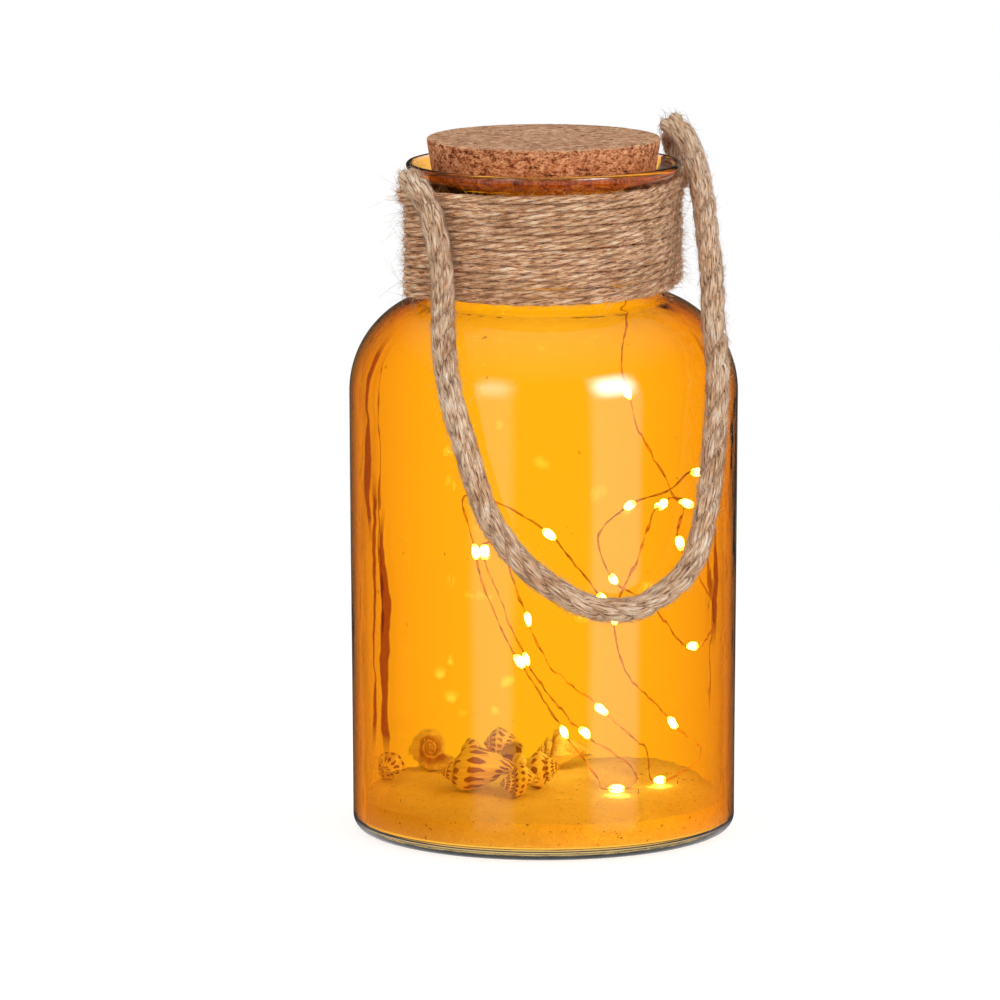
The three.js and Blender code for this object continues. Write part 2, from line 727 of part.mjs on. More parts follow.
// Circuit board with its slide switch, and the bush that the string leaves by.
addPiece(
  "circuit_board",
  box(
    BOARD_BAY_LEFT + FIT,
    BOARD_BAY_LEFT + FIT + BOARD_LENGTH,
    -BOARD_WIDTH / 2,
    BOARD_WIDTH / 2,
    BOARD_BOTTOM,
    BOARD_BOTTOM + BOARD_THICKNESS,
  ),
  "board",
);
const switchTop = BOARD_BOTTOM - FIT;
const switchBottom = switchTop - SWITCH_HEIGHT;
addPiece(
  "switch_body",
  box(
    SWITCH_X - SWITCH_LENGTH / 2,
    SWITCH_X + SWITCH_LENGTH / 2,
    -SWITCH_WIDTH / 2,
    SWITCH_WIDTH / 2,
    switchBottom,
    switchTop,
  ),
  "cell",
);
addPiece(
  "switch_slider",
  box(
    SWITCH_X - SLIDER_SIZE / 2,
    SWITCH_X + SLIDER_SIZE / 2,
    SLIDER_Y - SLIDER_SIZE / 2,
    SLIDER_Y + SLIDER_SIZE / 2,
    CORK_BOTTOM - SLIDER_REACH,
    switchBottom - FIT,
  ),
  "slider",
);
const bore = WIRE_DIAMETER / 2 + FIT;
const flangeTop = CORK_BOTTOM - FIT;
const grommetProfile = [
  [bore, flangeTop - GROMMET_FLANGE_HEIGHT],
  [GROMMET_FLANGE, flangeTop - GROMMET_FLANGE_HEIGHT],
  [GROMMET_FLANGE, flangeTop],
  [GROMMET_RADIUS, flangeTop],
  [GROMMET_RADIUS, plateTop + GROMMET_FLANGE_HEIGHT],
  [bore, plateTop + GROMMET_FLANGE_HEIGHT],
  [bore, flangeTop - GROMMET_FLANGE_HEIGHT],
];
addPiece("wire_grommet", lathe(grommetProfile, 16).translate(GROMMET_X, GROMMET_Y, 0), "grommet");

// String of lights: one wire from the board through the bush and through each light in turn.
const stringRoute = [
  [GROMMET_X, GROMMET_Y, BOARD_BOTTOM - FIT],
  [GROMMET_X, GROMMET_Y, CORK_BOTTOM - 3.5],
  ...STRING_ROUTE,
];
const stringCurve = smoothCurve(stringRoute);
const wirePoints = [];
const lights = [];
stringRoute.forEach(([x, y, z, isLed], i) => {
  const place = new THREE.Vector3(x, y, z);
  if (!isLed) {
    wirePoints.push(place);
    return;
  }
  const along = stringCurve.getTangent(i / (stringRoute.length - 1)).normalize();
  const half = LED_LENGTH / 2 + LED_WIRE_STRAIGHT;
  wirePoints.push(place.clone().addScaledVector(along, -half), place.clone().addScaledVector(along, half));
  lights.push({ place, along });
});
addPiece("led_wire", tube(wirePoints, WIRE_DIAMETER / 2, WIRE_DIAMETER / 2, 8), "copper");

const ledBore = (WIRE_DIAMETER / 2 + FIT) / Math.cos(Math.PI / LED_SIDES);
const ledProfile = [
  [ledBore, -LED_LENGTH / 2],
  [LED_TIP_DIAMETER / 2, -LED_LENGTH / 2],
  [LED_DIAMETER / 2, -LED_BARREL_LENGTH / 2],
  [LED_DIAMETER / 2, LED_BARREL_LENGTH / 2],
  [LED_TIP_DIAMETER / 2, LED_LENGTH / 2],
  [ledBore, LED_LENGTH / 2],
  [ledBore, -LED_LENGTH / 2],
];
lights.forEach(({ place, along }, i) => {
  const mesh = addPiece("led_" + String(i + 1).padStart(2, "0"), lathe(ledProfile, LED_SIDES), "led");
  mesh.quaternion.setFromUnitVectors(new THREE.Vector3(0, 0, 1), along);
  mesh.position.copy(place);
});

export default root;
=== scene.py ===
"""Jar light: an amber glass jar with a cork stopper, a twine-wound neck and a rope handle, which holds sand,
sea shells and a string of small lights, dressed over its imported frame.

Sizes are kept in millimetres in the classes, and every mesh is in metres in the frame's own axes."""

import json
import logging
import math
import random
from dataclasses import dataclass, field
from enum import Enum
from functools import partial
from typing import Any, Callable, Iterator, Sequence

import bmesh
import bpy
from mathutils import Matrix, Vector, noise
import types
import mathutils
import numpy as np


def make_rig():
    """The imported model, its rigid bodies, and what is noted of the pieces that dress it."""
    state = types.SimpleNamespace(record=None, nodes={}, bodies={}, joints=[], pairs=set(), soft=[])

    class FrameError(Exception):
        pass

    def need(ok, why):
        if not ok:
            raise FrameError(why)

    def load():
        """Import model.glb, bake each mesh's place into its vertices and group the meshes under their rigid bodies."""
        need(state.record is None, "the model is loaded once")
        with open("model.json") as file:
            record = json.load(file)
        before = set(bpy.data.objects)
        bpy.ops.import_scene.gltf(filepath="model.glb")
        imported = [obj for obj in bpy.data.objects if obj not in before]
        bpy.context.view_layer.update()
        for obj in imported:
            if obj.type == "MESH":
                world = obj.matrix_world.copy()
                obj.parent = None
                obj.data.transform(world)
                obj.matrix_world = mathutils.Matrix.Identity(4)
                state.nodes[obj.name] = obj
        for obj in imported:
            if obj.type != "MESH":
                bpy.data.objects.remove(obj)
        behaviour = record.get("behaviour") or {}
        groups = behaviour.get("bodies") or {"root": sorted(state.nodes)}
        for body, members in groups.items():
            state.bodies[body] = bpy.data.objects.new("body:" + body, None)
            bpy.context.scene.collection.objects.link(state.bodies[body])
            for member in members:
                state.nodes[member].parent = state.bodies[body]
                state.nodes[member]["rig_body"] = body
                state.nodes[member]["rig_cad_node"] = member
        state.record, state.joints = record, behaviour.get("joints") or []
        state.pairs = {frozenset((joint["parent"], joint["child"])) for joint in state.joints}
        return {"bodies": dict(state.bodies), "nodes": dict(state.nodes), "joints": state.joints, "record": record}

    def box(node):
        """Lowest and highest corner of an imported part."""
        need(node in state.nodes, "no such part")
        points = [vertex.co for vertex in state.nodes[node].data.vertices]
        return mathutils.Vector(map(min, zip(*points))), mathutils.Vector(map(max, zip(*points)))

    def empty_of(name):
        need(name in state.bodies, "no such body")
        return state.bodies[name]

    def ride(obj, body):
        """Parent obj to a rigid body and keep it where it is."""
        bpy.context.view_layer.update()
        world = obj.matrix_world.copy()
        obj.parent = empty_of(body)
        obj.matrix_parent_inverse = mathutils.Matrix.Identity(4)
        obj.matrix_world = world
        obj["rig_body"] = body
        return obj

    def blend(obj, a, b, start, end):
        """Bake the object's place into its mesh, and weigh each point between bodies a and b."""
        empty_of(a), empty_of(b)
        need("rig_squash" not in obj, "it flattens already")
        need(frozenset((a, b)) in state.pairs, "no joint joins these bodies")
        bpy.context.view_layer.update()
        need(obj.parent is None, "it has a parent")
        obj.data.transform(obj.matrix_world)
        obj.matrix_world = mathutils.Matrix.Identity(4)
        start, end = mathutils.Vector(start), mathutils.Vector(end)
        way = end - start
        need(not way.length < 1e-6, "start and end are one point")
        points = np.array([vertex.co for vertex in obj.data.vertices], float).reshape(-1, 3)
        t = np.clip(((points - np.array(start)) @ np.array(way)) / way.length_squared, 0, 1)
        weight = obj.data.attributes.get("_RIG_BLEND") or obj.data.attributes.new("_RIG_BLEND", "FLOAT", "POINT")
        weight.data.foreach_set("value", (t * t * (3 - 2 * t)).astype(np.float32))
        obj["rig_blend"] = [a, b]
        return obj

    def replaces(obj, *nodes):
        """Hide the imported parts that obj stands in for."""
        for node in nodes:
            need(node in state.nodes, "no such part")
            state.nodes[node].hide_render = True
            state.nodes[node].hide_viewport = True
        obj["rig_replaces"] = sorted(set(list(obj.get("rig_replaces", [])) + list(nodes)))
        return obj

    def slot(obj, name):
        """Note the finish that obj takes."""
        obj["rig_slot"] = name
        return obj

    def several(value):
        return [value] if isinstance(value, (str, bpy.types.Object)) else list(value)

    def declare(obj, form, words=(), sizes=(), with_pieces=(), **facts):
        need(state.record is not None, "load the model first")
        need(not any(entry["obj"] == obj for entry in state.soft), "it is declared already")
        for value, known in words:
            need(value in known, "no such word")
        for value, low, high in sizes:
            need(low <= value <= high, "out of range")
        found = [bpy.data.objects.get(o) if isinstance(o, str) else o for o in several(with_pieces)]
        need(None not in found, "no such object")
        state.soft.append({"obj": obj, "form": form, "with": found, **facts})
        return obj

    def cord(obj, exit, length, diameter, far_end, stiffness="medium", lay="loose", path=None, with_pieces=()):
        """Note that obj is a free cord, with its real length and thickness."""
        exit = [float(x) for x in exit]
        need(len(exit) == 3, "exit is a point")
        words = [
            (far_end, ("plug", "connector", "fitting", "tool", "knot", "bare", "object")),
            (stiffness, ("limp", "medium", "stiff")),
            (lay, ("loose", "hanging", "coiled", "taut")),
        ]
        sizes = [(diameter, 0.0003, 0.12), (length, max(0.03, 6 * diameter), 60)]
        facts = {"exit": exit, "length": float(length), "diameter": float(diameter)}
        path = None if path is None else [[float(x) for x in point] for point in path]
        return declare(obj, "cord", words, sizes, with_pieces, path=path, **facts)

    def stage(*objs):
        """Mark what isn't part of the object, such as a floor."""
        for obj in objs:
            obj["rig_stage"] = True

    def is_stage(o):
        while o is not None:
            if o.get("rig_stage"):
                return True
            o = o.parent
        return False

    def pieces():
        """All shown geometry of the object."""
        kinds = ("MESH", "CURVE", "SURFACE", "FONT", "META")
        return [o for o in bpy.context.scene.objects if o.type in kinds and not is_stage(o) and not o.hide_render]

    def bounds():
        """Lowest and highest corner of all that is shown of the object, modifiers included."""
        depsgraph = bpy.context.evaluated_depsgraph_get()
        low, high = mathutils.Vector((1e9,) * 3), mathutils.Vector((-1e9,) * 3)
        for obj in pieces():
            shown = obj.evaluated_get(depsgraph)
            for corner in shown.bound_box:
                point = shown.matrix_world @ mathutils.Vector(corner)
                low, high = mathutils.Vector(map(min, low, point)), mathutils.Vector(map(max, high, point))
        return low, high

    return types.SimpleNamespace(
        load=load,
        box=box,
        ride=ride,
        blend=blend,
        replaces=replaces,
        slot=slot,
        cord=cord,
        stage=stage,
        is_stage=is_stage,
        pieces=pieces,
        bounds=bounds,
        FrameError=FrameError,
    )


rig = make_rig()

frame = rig.load()
CAD_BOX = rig.bounds()

LOG = logging.getLogger("jar_light")
MM = 0.001
TURN = 2 * math.pi
SIZE_FILE = "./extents.json"
WHITE = (1.0, 1.0, 1.0, 1.0)
# The settings of a Mix node that multiplies two colours.
MULTIPLIED = {"data_type": "RGBA", "blend_type": "MULTIPLY"}

# How many points a smooth line gets between two of the places that it runs through.
CURVE_STEPS = 20
# The direction from which a line's first direction across is made.
FIRST_ACROSS = (0.31, 0.17, 0.94)
# The least length that is divided by, in metres.
LEAST_LENGTH = 1e-12
# Points nearer to each other than this become one, in metres.
MERGED = 1e-6
# The share of a rope's radius at which the bottom of the groove between two strands lies, where the painted shade
# between strands is full.
GROOVE_BOTTOM = 0.6
# The least share that a strand's cut end counts as standing out, which keeps the painted shade between strands off it,
# as it has no groove.
CUT_END = 0.8
# The share that is left of what stood out beyond a rope's round before it was pressed in.
PRESSED = 0.3
# How much a fibre on a strand follows the strand's own outside, beside the rope's.
OWN_OUTSIDE = 0.8

Colour = tuple[float, float, float, float]
Place = tuple[float, float, float]
Pair = tuple[float, float]
Profile = list[Pair]
BMesh = bmesh.types.BMesh
Node = bpy.types.Node
Socket = bpy.types.NodeSocket
Tree = bpy.types.NodeTree


def to_linear(hex_colour: str) -> Colour:
    """Turns an sRGB colour into the linear values that shaders read.

    Args:
        hex_colour: the colour as #RRGGBB.

    Returns:
        Red, green, blue and an alpha of 1.
    """
    shares = [int(hex_colour[i : i + 2], 16) / 255 for i in (1, 3, 5)]
    linear = [v / 12.92 if v <= 0.04045 else ((v + 0.055) / 1.055) ** 2.4 for v in shares]
    return linear[0], linear[1], linear[2], 1.0


def feed(tree: Tree, node: Node, inputs: dict[Any, Any]) -> None:
    """Gives a node's inputs their values and links.

    A Mix node's inputs 2 and 3 are its two numbers, and 6 and 7 its two colours. A Map Range node's inputs 1
    and 2 are the ends of what it takes, and 3 and 4 the ends of what it gives.

    Args:
        tree: the node tree that holds it.
        node: the node.
        inputs: input name or number to a plain value, to the output socket that feeds it, or to the node
            whose first output does.
    """
    for key, value in inputs.items():
        if isinstance(value, Node):
            value = next(socket for socket in value.outputs if not socket.is_unavailable)
        if isinstance(value, Socket):
            tree.links.new(value, node.inputs[key])
        else:
            node.inputs[key].default_value = value


def add_node(tree: Tree, kind: str, inputs: dict[Any, Any] | None = None, **settings: Any) -> Node:
    """Adds one node with its settings, values and links.

    Args:
        tree: the node tree that gets it.
        kind: the node's Blender type name after ShaderNode.
        inputs: what its inputs get, as feed takes it.
        settings: the node's own properties; stops is a colour ramp's list of places and sRGB colours.

    Returns:
        The new node.
    """
    node = tree.nodes.new("ShaderNode" + kind)
    for name, value in settings.items():
        if name == "stops":
            ramp = node.color_ramp.elements
            while len(ramp) < len(value):
                ramp.new(1.0)
            for element, (place, colour) in zip(ramp, value):
                element.position = place
                element.color = to_linear(colour)
        else:
            setattr(node, name, value)
    feed(tree, node, inputs or {})
    return node


def smoothstep(share: float) -> float:
    """Eases a share from 0 to 1 with level ends."""
    return share * share * (3 - 2 * share)


# Lines and tubes


@dataclass
class Route:
    """A line through space that a cord, strand or fibre follows.

    Attributes:
        points: places along the line, in metres.
    """

    points: list[Vector]

    @classmethod
    def smooth(cls, places: Sequence[Vector], step: float) -> "Route":
        """Runs a smooth line through some places.

        Args:
            places: the places, in metres.
            step: the distance between the line's points, in metres.

        Returns:
            The evenly spaced line.
        """
        p = [2 * places[0] - places[1], *places, 2 * places[-1] - places[-2]]
        fine = []
        for i in range(1, len(p) - 2):
            start, end = cls.slope(*p[i - 1 : i + 2]), cls.slope(*p[i : i + 3])
            span = math.sqrt((p[i + 1] - p[i]).length)
            for k in range(CURVE_STEPS):
                t = k / CURVE_STEPS
                fine.append(
                    (2 * t**3 - 3 * t**2 + 1) * p[i]
                    + (t**3 - 2 * t**2 + t) * span * start
                    + (3 * t**2 - 2 * t**3) * p[i + 1]
                    + (t**3 - t**2) * span * end
                )
        return cls([*fine, p[-2]]).spaced(step)

    @staticmethod
    def slope(before: Vector, here: Vector, after: Vector) -> Vector:
        """The direction in which a smooth line passes a place between two others."""
        a, b = math.sqrt((here - before).length), math.sqrt((after - here).length)
        return (here - before) / a - (after - before) / (a + b) + (after - here) / b

    def distances(self) -> list[float]:
        """How far along the line each point lies.

        Returns:
            One distance for each point, in metres.
        """
        along = [0.0]
        for a, b in zip(self.points, self.points[1:]):
            along.append(along[-1] + (b - a).length)
        return along

    def spaced(self, step: float) -> "Route":
        """The same line with evenly spaced points.

        Args:
            step: about how far apart the points lie, in metres.

        Returns:
            The new line, with the same ends.
        """
        along = self.distances()
        count = max(2, round(along[-1] / step))
        points, i = [], 0
        for k in range(count + 1):
            target = along[-1] * k / count
            while i < len(along) - 2 and along[i + 1] < target:
                i += 1
            share = (target - along[i]) / max(along[i + 1] - along[i], LEAST_LENGTH)
            points.append(self.points[i].lerp(self.points[i + 1], min(share, 1.0)))
        return Route(points)

    def frames(self) -> list[tuple[Vector, Vector, Vector]]:
        """The directions along and across the line, without sudden turns.

        Returns:
            The direction ahead and two directions across it for each point.
        """
        p = self.points
        found: list[tuple[Vector, Vector, Vector]] = []
        across = Vector(FIRST_ACROSS)
        for i in range(len(p)):
            ahead = (p[min(i + 1, len(p) - 1)] - p[max(i - 1, 0)]).normalized()
            across = (across - ahead * across.dot(ahead)).normalized()
            found.append((ahead, across.copy(), ahead.cross(across)))
        return found

    def strands(self, count: int, offset: float, lay: float) -> list[list[Vector]]:
        """The lines of strands that twist about this line.

        Args:
            count: how many strands there are.
            offset: the distance from this line to each strand's own, in metres.
            lay: the length in which a strand goes once round, in metres.

        Returns:
            One list of points for each strand.
        """
        frames, along = self.frames(), self.distances()
        lines = []
        for k in range(count):
            line = []
            for place, (_, n, b), s in zip(self.points, frames, along):
                a = TURN * (k / count + s / lay)
                line.append(place + offset * (math.cos(a) * n + math.sin(a) * b))
            lines.append(line)
        return lines


def sweep(
    bm: BMesh, line: Sequence[Vector], radius: Callable[[float], float], sides: int,
    start: float = 0.0, twist: float = 0.0, core: Sequence[Vector] = (), limit: float = 0.0,
) -> None:
    """Adds a closed tube along a line, with the distance along it and the way round it as its UV map.

    The mesh's proud attribute is 0 in the groove between two strands and 1 on their outside, and sets where the
    fibres' painted shade between strands falls.

    Args:
        bm: the mesh that gets the tube.
        line: the tube's centre line, in metres.
        radius: the tube's radius for a share of its length from 0 to 1, in metres.
        sides: how many sides the tube has.
        start: the distance at which the UV map begins, in metres.
        twist: how many times a metre the UV map turns round the tube.
        core: a line with as many points, about which the tube is pressed in.
        limit: the distance from the core beyond which it is pressed in, in metres.
    """
    uv = bm.loops.layers.uv.verify()
    proud = bm.verts.layers.float.get("proud") or bm.verts.layers.float.new("proud")
    route = Route(list(line))
    along = route.distances()
    turns = [(math.cos(TURN * j / sides), math.sin(TURN * j / sides)) for j in range(sides)]
    rings = []
    for i, (place, (_, n, b), s) in enumerate(zip(route.points, route.frames(), along)):
        r = radius(s / along[-1])
        ring = [place + r * (c * n + q * b) for c, q in turns]
        if core:
            ring = [press_in(point, core[i], limit) for point in ring]
        rings.append([bm.verts.new(point) for point in ring])
        for v in rings[-1]:
            height = (v.co - core[i]).length / limit if core else 1.0
            v[proud] = min(1.0, max(0.0, height - GROOVE_BOTTOM) / (1 - GROOVE_BOTTOM))
    for i in range(len(rings) - 1):
        for j in range(sides):
            k = (j + 1) % sides
            face = bm.faces.new((rings[i][j], rings[i][k], rings[i + 1][k], rings[i + 1][j]))
            corners = ((i, j), (i, j + 1), (i + 1, j + 1), (i + 1, j))
            for loop, (row, side) in zip(face.loops, corners):
                far = start + along[row]
                loop[uv].uv = (far / MM, side / sides + twist * far)
    for v in rings[0] + rings[-1]:
        v[proud] = max(v[proud], CUT_END)
    bm.faces.new(list(reversed(rings[0])))
    bm.faces.new(rings[-1])


def press_in(point: Vector, middle: Vector, limit: float) -> Vector:
    """Moves a point that lies far from a middle most of the way back to a limit.

    Args:
        point: the point.
        middle: the middle from which its distance counts.
        limit: the distance up to which it stays where it is, in metres.

    Returns:
        The point's new place.
    """
    away = point - middle
    over = away.length - limit
    return point if over <= 0 else middle + away * (limit + PRESSED * over) / away.length


@dataclass(frozen=True)
class Fuzz:
    """One kind of loose fibre that lies on a rope, a strand or a twine or stands off it.

    Attributes:
        count: how many there are; on a rope, how many for each millimetre of a strand.
        lengths: the shortest and the longest.
        radius: a fibre's radius where it starts.
        lift: the least and the greatest slope at which they leave the surface.
        stray: how far they bend sideways.
    """

    count: float
    lengths: Pair
    radius: float
    lift: Pair
    stray: float

    # How far fibres turn at least, and how much of their stray does not turn them.
    LEAST_TURN, HELD = 0.22, 0.5
    # How far they bend back to the surface and away from it at most.
    BOW = (-0.35, 0.1)
    # How thin and how thick they are, and the share of the radius that is lost to the tip.
    UNEVEN, TAPER = (0.6, 1.2), 0.6
    # The shares of the length at which short and long fibres bend, a short one's length, and the sides.
    BENDS, SHORT, SIDES = ((0, 0.5, 1.0), (0, 0.3, 0.65, 1.0)), 3.4, 3

    def grow(
        self, bm: BMesh, route: Route, reach: float, count: int, slant: float, rng: random.Random,
        core: Sequence[Vector] = (), limit: float = 0.0, outward: bool = False,
    ) -> None:
        """Adds the fibres.

        Args:
            bm: the mesh that gets them.
            route: the centre line of what they lie on.
            reach: how far from that line they start, in metres.
            count: how many are added.
            slant: how far they turn from the line's direction.
            rng: the source of chance.
            core: the rope's own middle, with as many points, if the route is a strand's.
            limit: the distance from that middle beyond which the strand is pressed in, in metres.
            outward: whether they keep to the side that faces away from the jar's axis.
        """
        frames = route.frames()
        axis = Route(list(core)).frames() if core else frames
        spread = max(self.LEAST_TURN, self.stray - self.HELD)
        for _ in range(count):
            i = rng.randrange(len(frames))
            a = rng.uniform(0, TURN)
            out = math.cos(a) * frames[i][1] + math.sin(a) * frames[i][2]
            if outward and out.xy.dot(route.points[i].xy) < 0:
                out = -out
            start = route.points[i] + reach * out
            if core:
                out = (OWN_OUTSIDE * out + (route.points[i] - core[i]).normalized()).normalized()
                start = press_in(route.points[i] + reach * out, core[i], limit)
            ahead = axis[i][0]
            side = ahead.cross(out)
            length = rng.uniform(*(size * MM for size in self.lengths))
            turn = slant + rng.uniform(-spread, spread)
            way = (rng.choice((-1, 1)) * (ahead + turn * side) + rng.uniform(*self.lift) * out).normalized()
            curl = rng.uniform(*self.BOW) * out + rng.uniform(-self.stray, self.stray) * side
            shares = self.BENDS[length > self.SHORT * MM]
            line = [start + length * (t * way + 0.5 * t * t * curl) for t in shares]
            thick = self.radius * MM * rng.uniform(*self.UNEVEN)
            sweep(bm, line, lambda share: thick * (1 - self.TAPER * share), self.SIDES, rng.uniform(0, 1))


def spin_profile(bm: BMesh, profile: Sequence[Pair], steps: int) -> None:
    """Turns a profile about the Z axis into a closed body with its faces pointing out.

    Args:
        bm: an empty mesh.
        profile: radius and height of each point, in millimetres, from the axis back to the axis.
        steps: how many steps make a full turn.
    """
    points = [bm.verts.new((r * MM, 0, z * MM)) for r, z in profile]
    edges = [bm.edges.new(pair) for pair in zip(points, points[1:])]
    bmesh.ops.spin(
        bm, geom=[*points, *edges], cent=(0, 0, 0), axis=(0, 0, 1), dvec=(0, 0, 0),
        angle=TURN, steps=steps, use_merge=True, use_duplicate=False,
    )
    bmesh.ops.remove_doubles(bm, verts=bm.verts, dist=MERGED)
    bmesh.ops.recalc_face_normals(bm, faces=bm.faces)


def arc(centre: Pair, radius: float, start: float, end: float, steps: int) -> Profile:
    """Points on an arc of a profile.

    Args:
        centre: the arc's centre.
        radius: the arc's radius.
        start: the angle of the first point in degrees, from the radial direction towards up.
        end: the angle of the last point in degrees.
        steps: how many steps lie between them.

    Returns:
        The points, both ends among them.
    """
    angles = [math.radians(start + (end - start) * i / steps) for i in range(steps + 1)]
    return [(centre[0] + radius * math.cos(a), centre[1] + radius * math.sin(a)) for a in angles]


def straight(start: Pair, end: Pair, steps: int) -> Profile:
    """Points between two points of a profile, without the ends."""
    shares = [i / steps for i in range(1, steps)]
    return [(start[0] + (end[0] - start[0]) * t, start[1] + (end[1] - start[1]) * t) for t in shares]


def add_object(name: str, bm: BMesh) -> bpy.types.Object:
    """Puts a mesh into the scene as an object.

    Args:
        name: the object's name.
        bm: its mesh, which is freed.

    Returns:
        The new object.
    """
    mesh = bpy.data.meshes.new(name)
    bm.to_mesh(mesh)
    bm.free()
    made = bpy.data.objects.new(name, mesh)
    bpy.context.scene.collection.objects.link(made)
    return made


def make_piece(
    name: str, bm: BMesh, finishes: Sequence["Finish"], slot: str, crease: float = 50.0,
) -> bpy.types.Object:
    """Turns a finished mesh into a piece of the part.

    Args:
        name: the piece's name.
        bm: its mesh, which is freed.
        finishes: its finishes, in the order of its faces' material numbers.
        slot: the record's material slot that it stands for.
        crease: edges sharper than this many degrees stay sharp.

    Returns:
        The new object.
    """
    piece = add_object(name, bm)
    mesh = piece.data
    for finish in finishes:
        mesh.materials.append(finish.material())
    mesh.shade_smooth()
    mesh.set_sharp_from_angle(angle=math.radians(crease))
    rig.slot(piece, slot)
    LOG.info("%s: %d faces", name, len(mesh.polygons))
    return piece


# Finishes


@dataclass(frozen=True)
class Finish:
    """A material made from nodes.

    Attributes:
        name: the material's common name and how its surface was made.
    """

    name: str

    def material(self) -> bpy.types.Material:
        """Makes the finish's material the first time it is asked for.

        Returns:
            The material.
        """
        found = bpy.data.materials.get(self.name)
        if found:
            return found
        made = bpy.data.materials.new(self.name)
        made.use_nodes = True
        tree = made.node_tree
        shader = next(n for n in tree.nodes if n.type == "BSDF_PRINCIPLED")
        self.paint(tree, shader)
        return made

    def paint(self, tree: Tree, shader: Node) -> None:
        """Adds the finish's nodes.

        Args:
            tree: the material's nodes.
            shader: the shader that they feed.
        """
        raise NotImplementedError


def let_lamps_through(tree: Tree, shader: Node, tint: Any) -> None:
    """Lets lamp light pass a glass surface, tinted, so that it reaches what lies behind it.

    Args:
        tree: the material's nodes.
        shader: the glass shader.
        tint: the colour of the light that passes, or the node that gives it.
    """
    add = partial(add_node, tree)
    output = next(n for n in tree.nodes if n.type == "OUTPUT_MATERIAL")
    path = add("LightPath")
    clear = add("BsdfTransparent", {"Color": tint})
    mixed = add("MixShader", {0: path.outputs["Is Shadow Ray"], 1: shader, 2: clear})
    feed(tree, output, {"Surface": mixed})


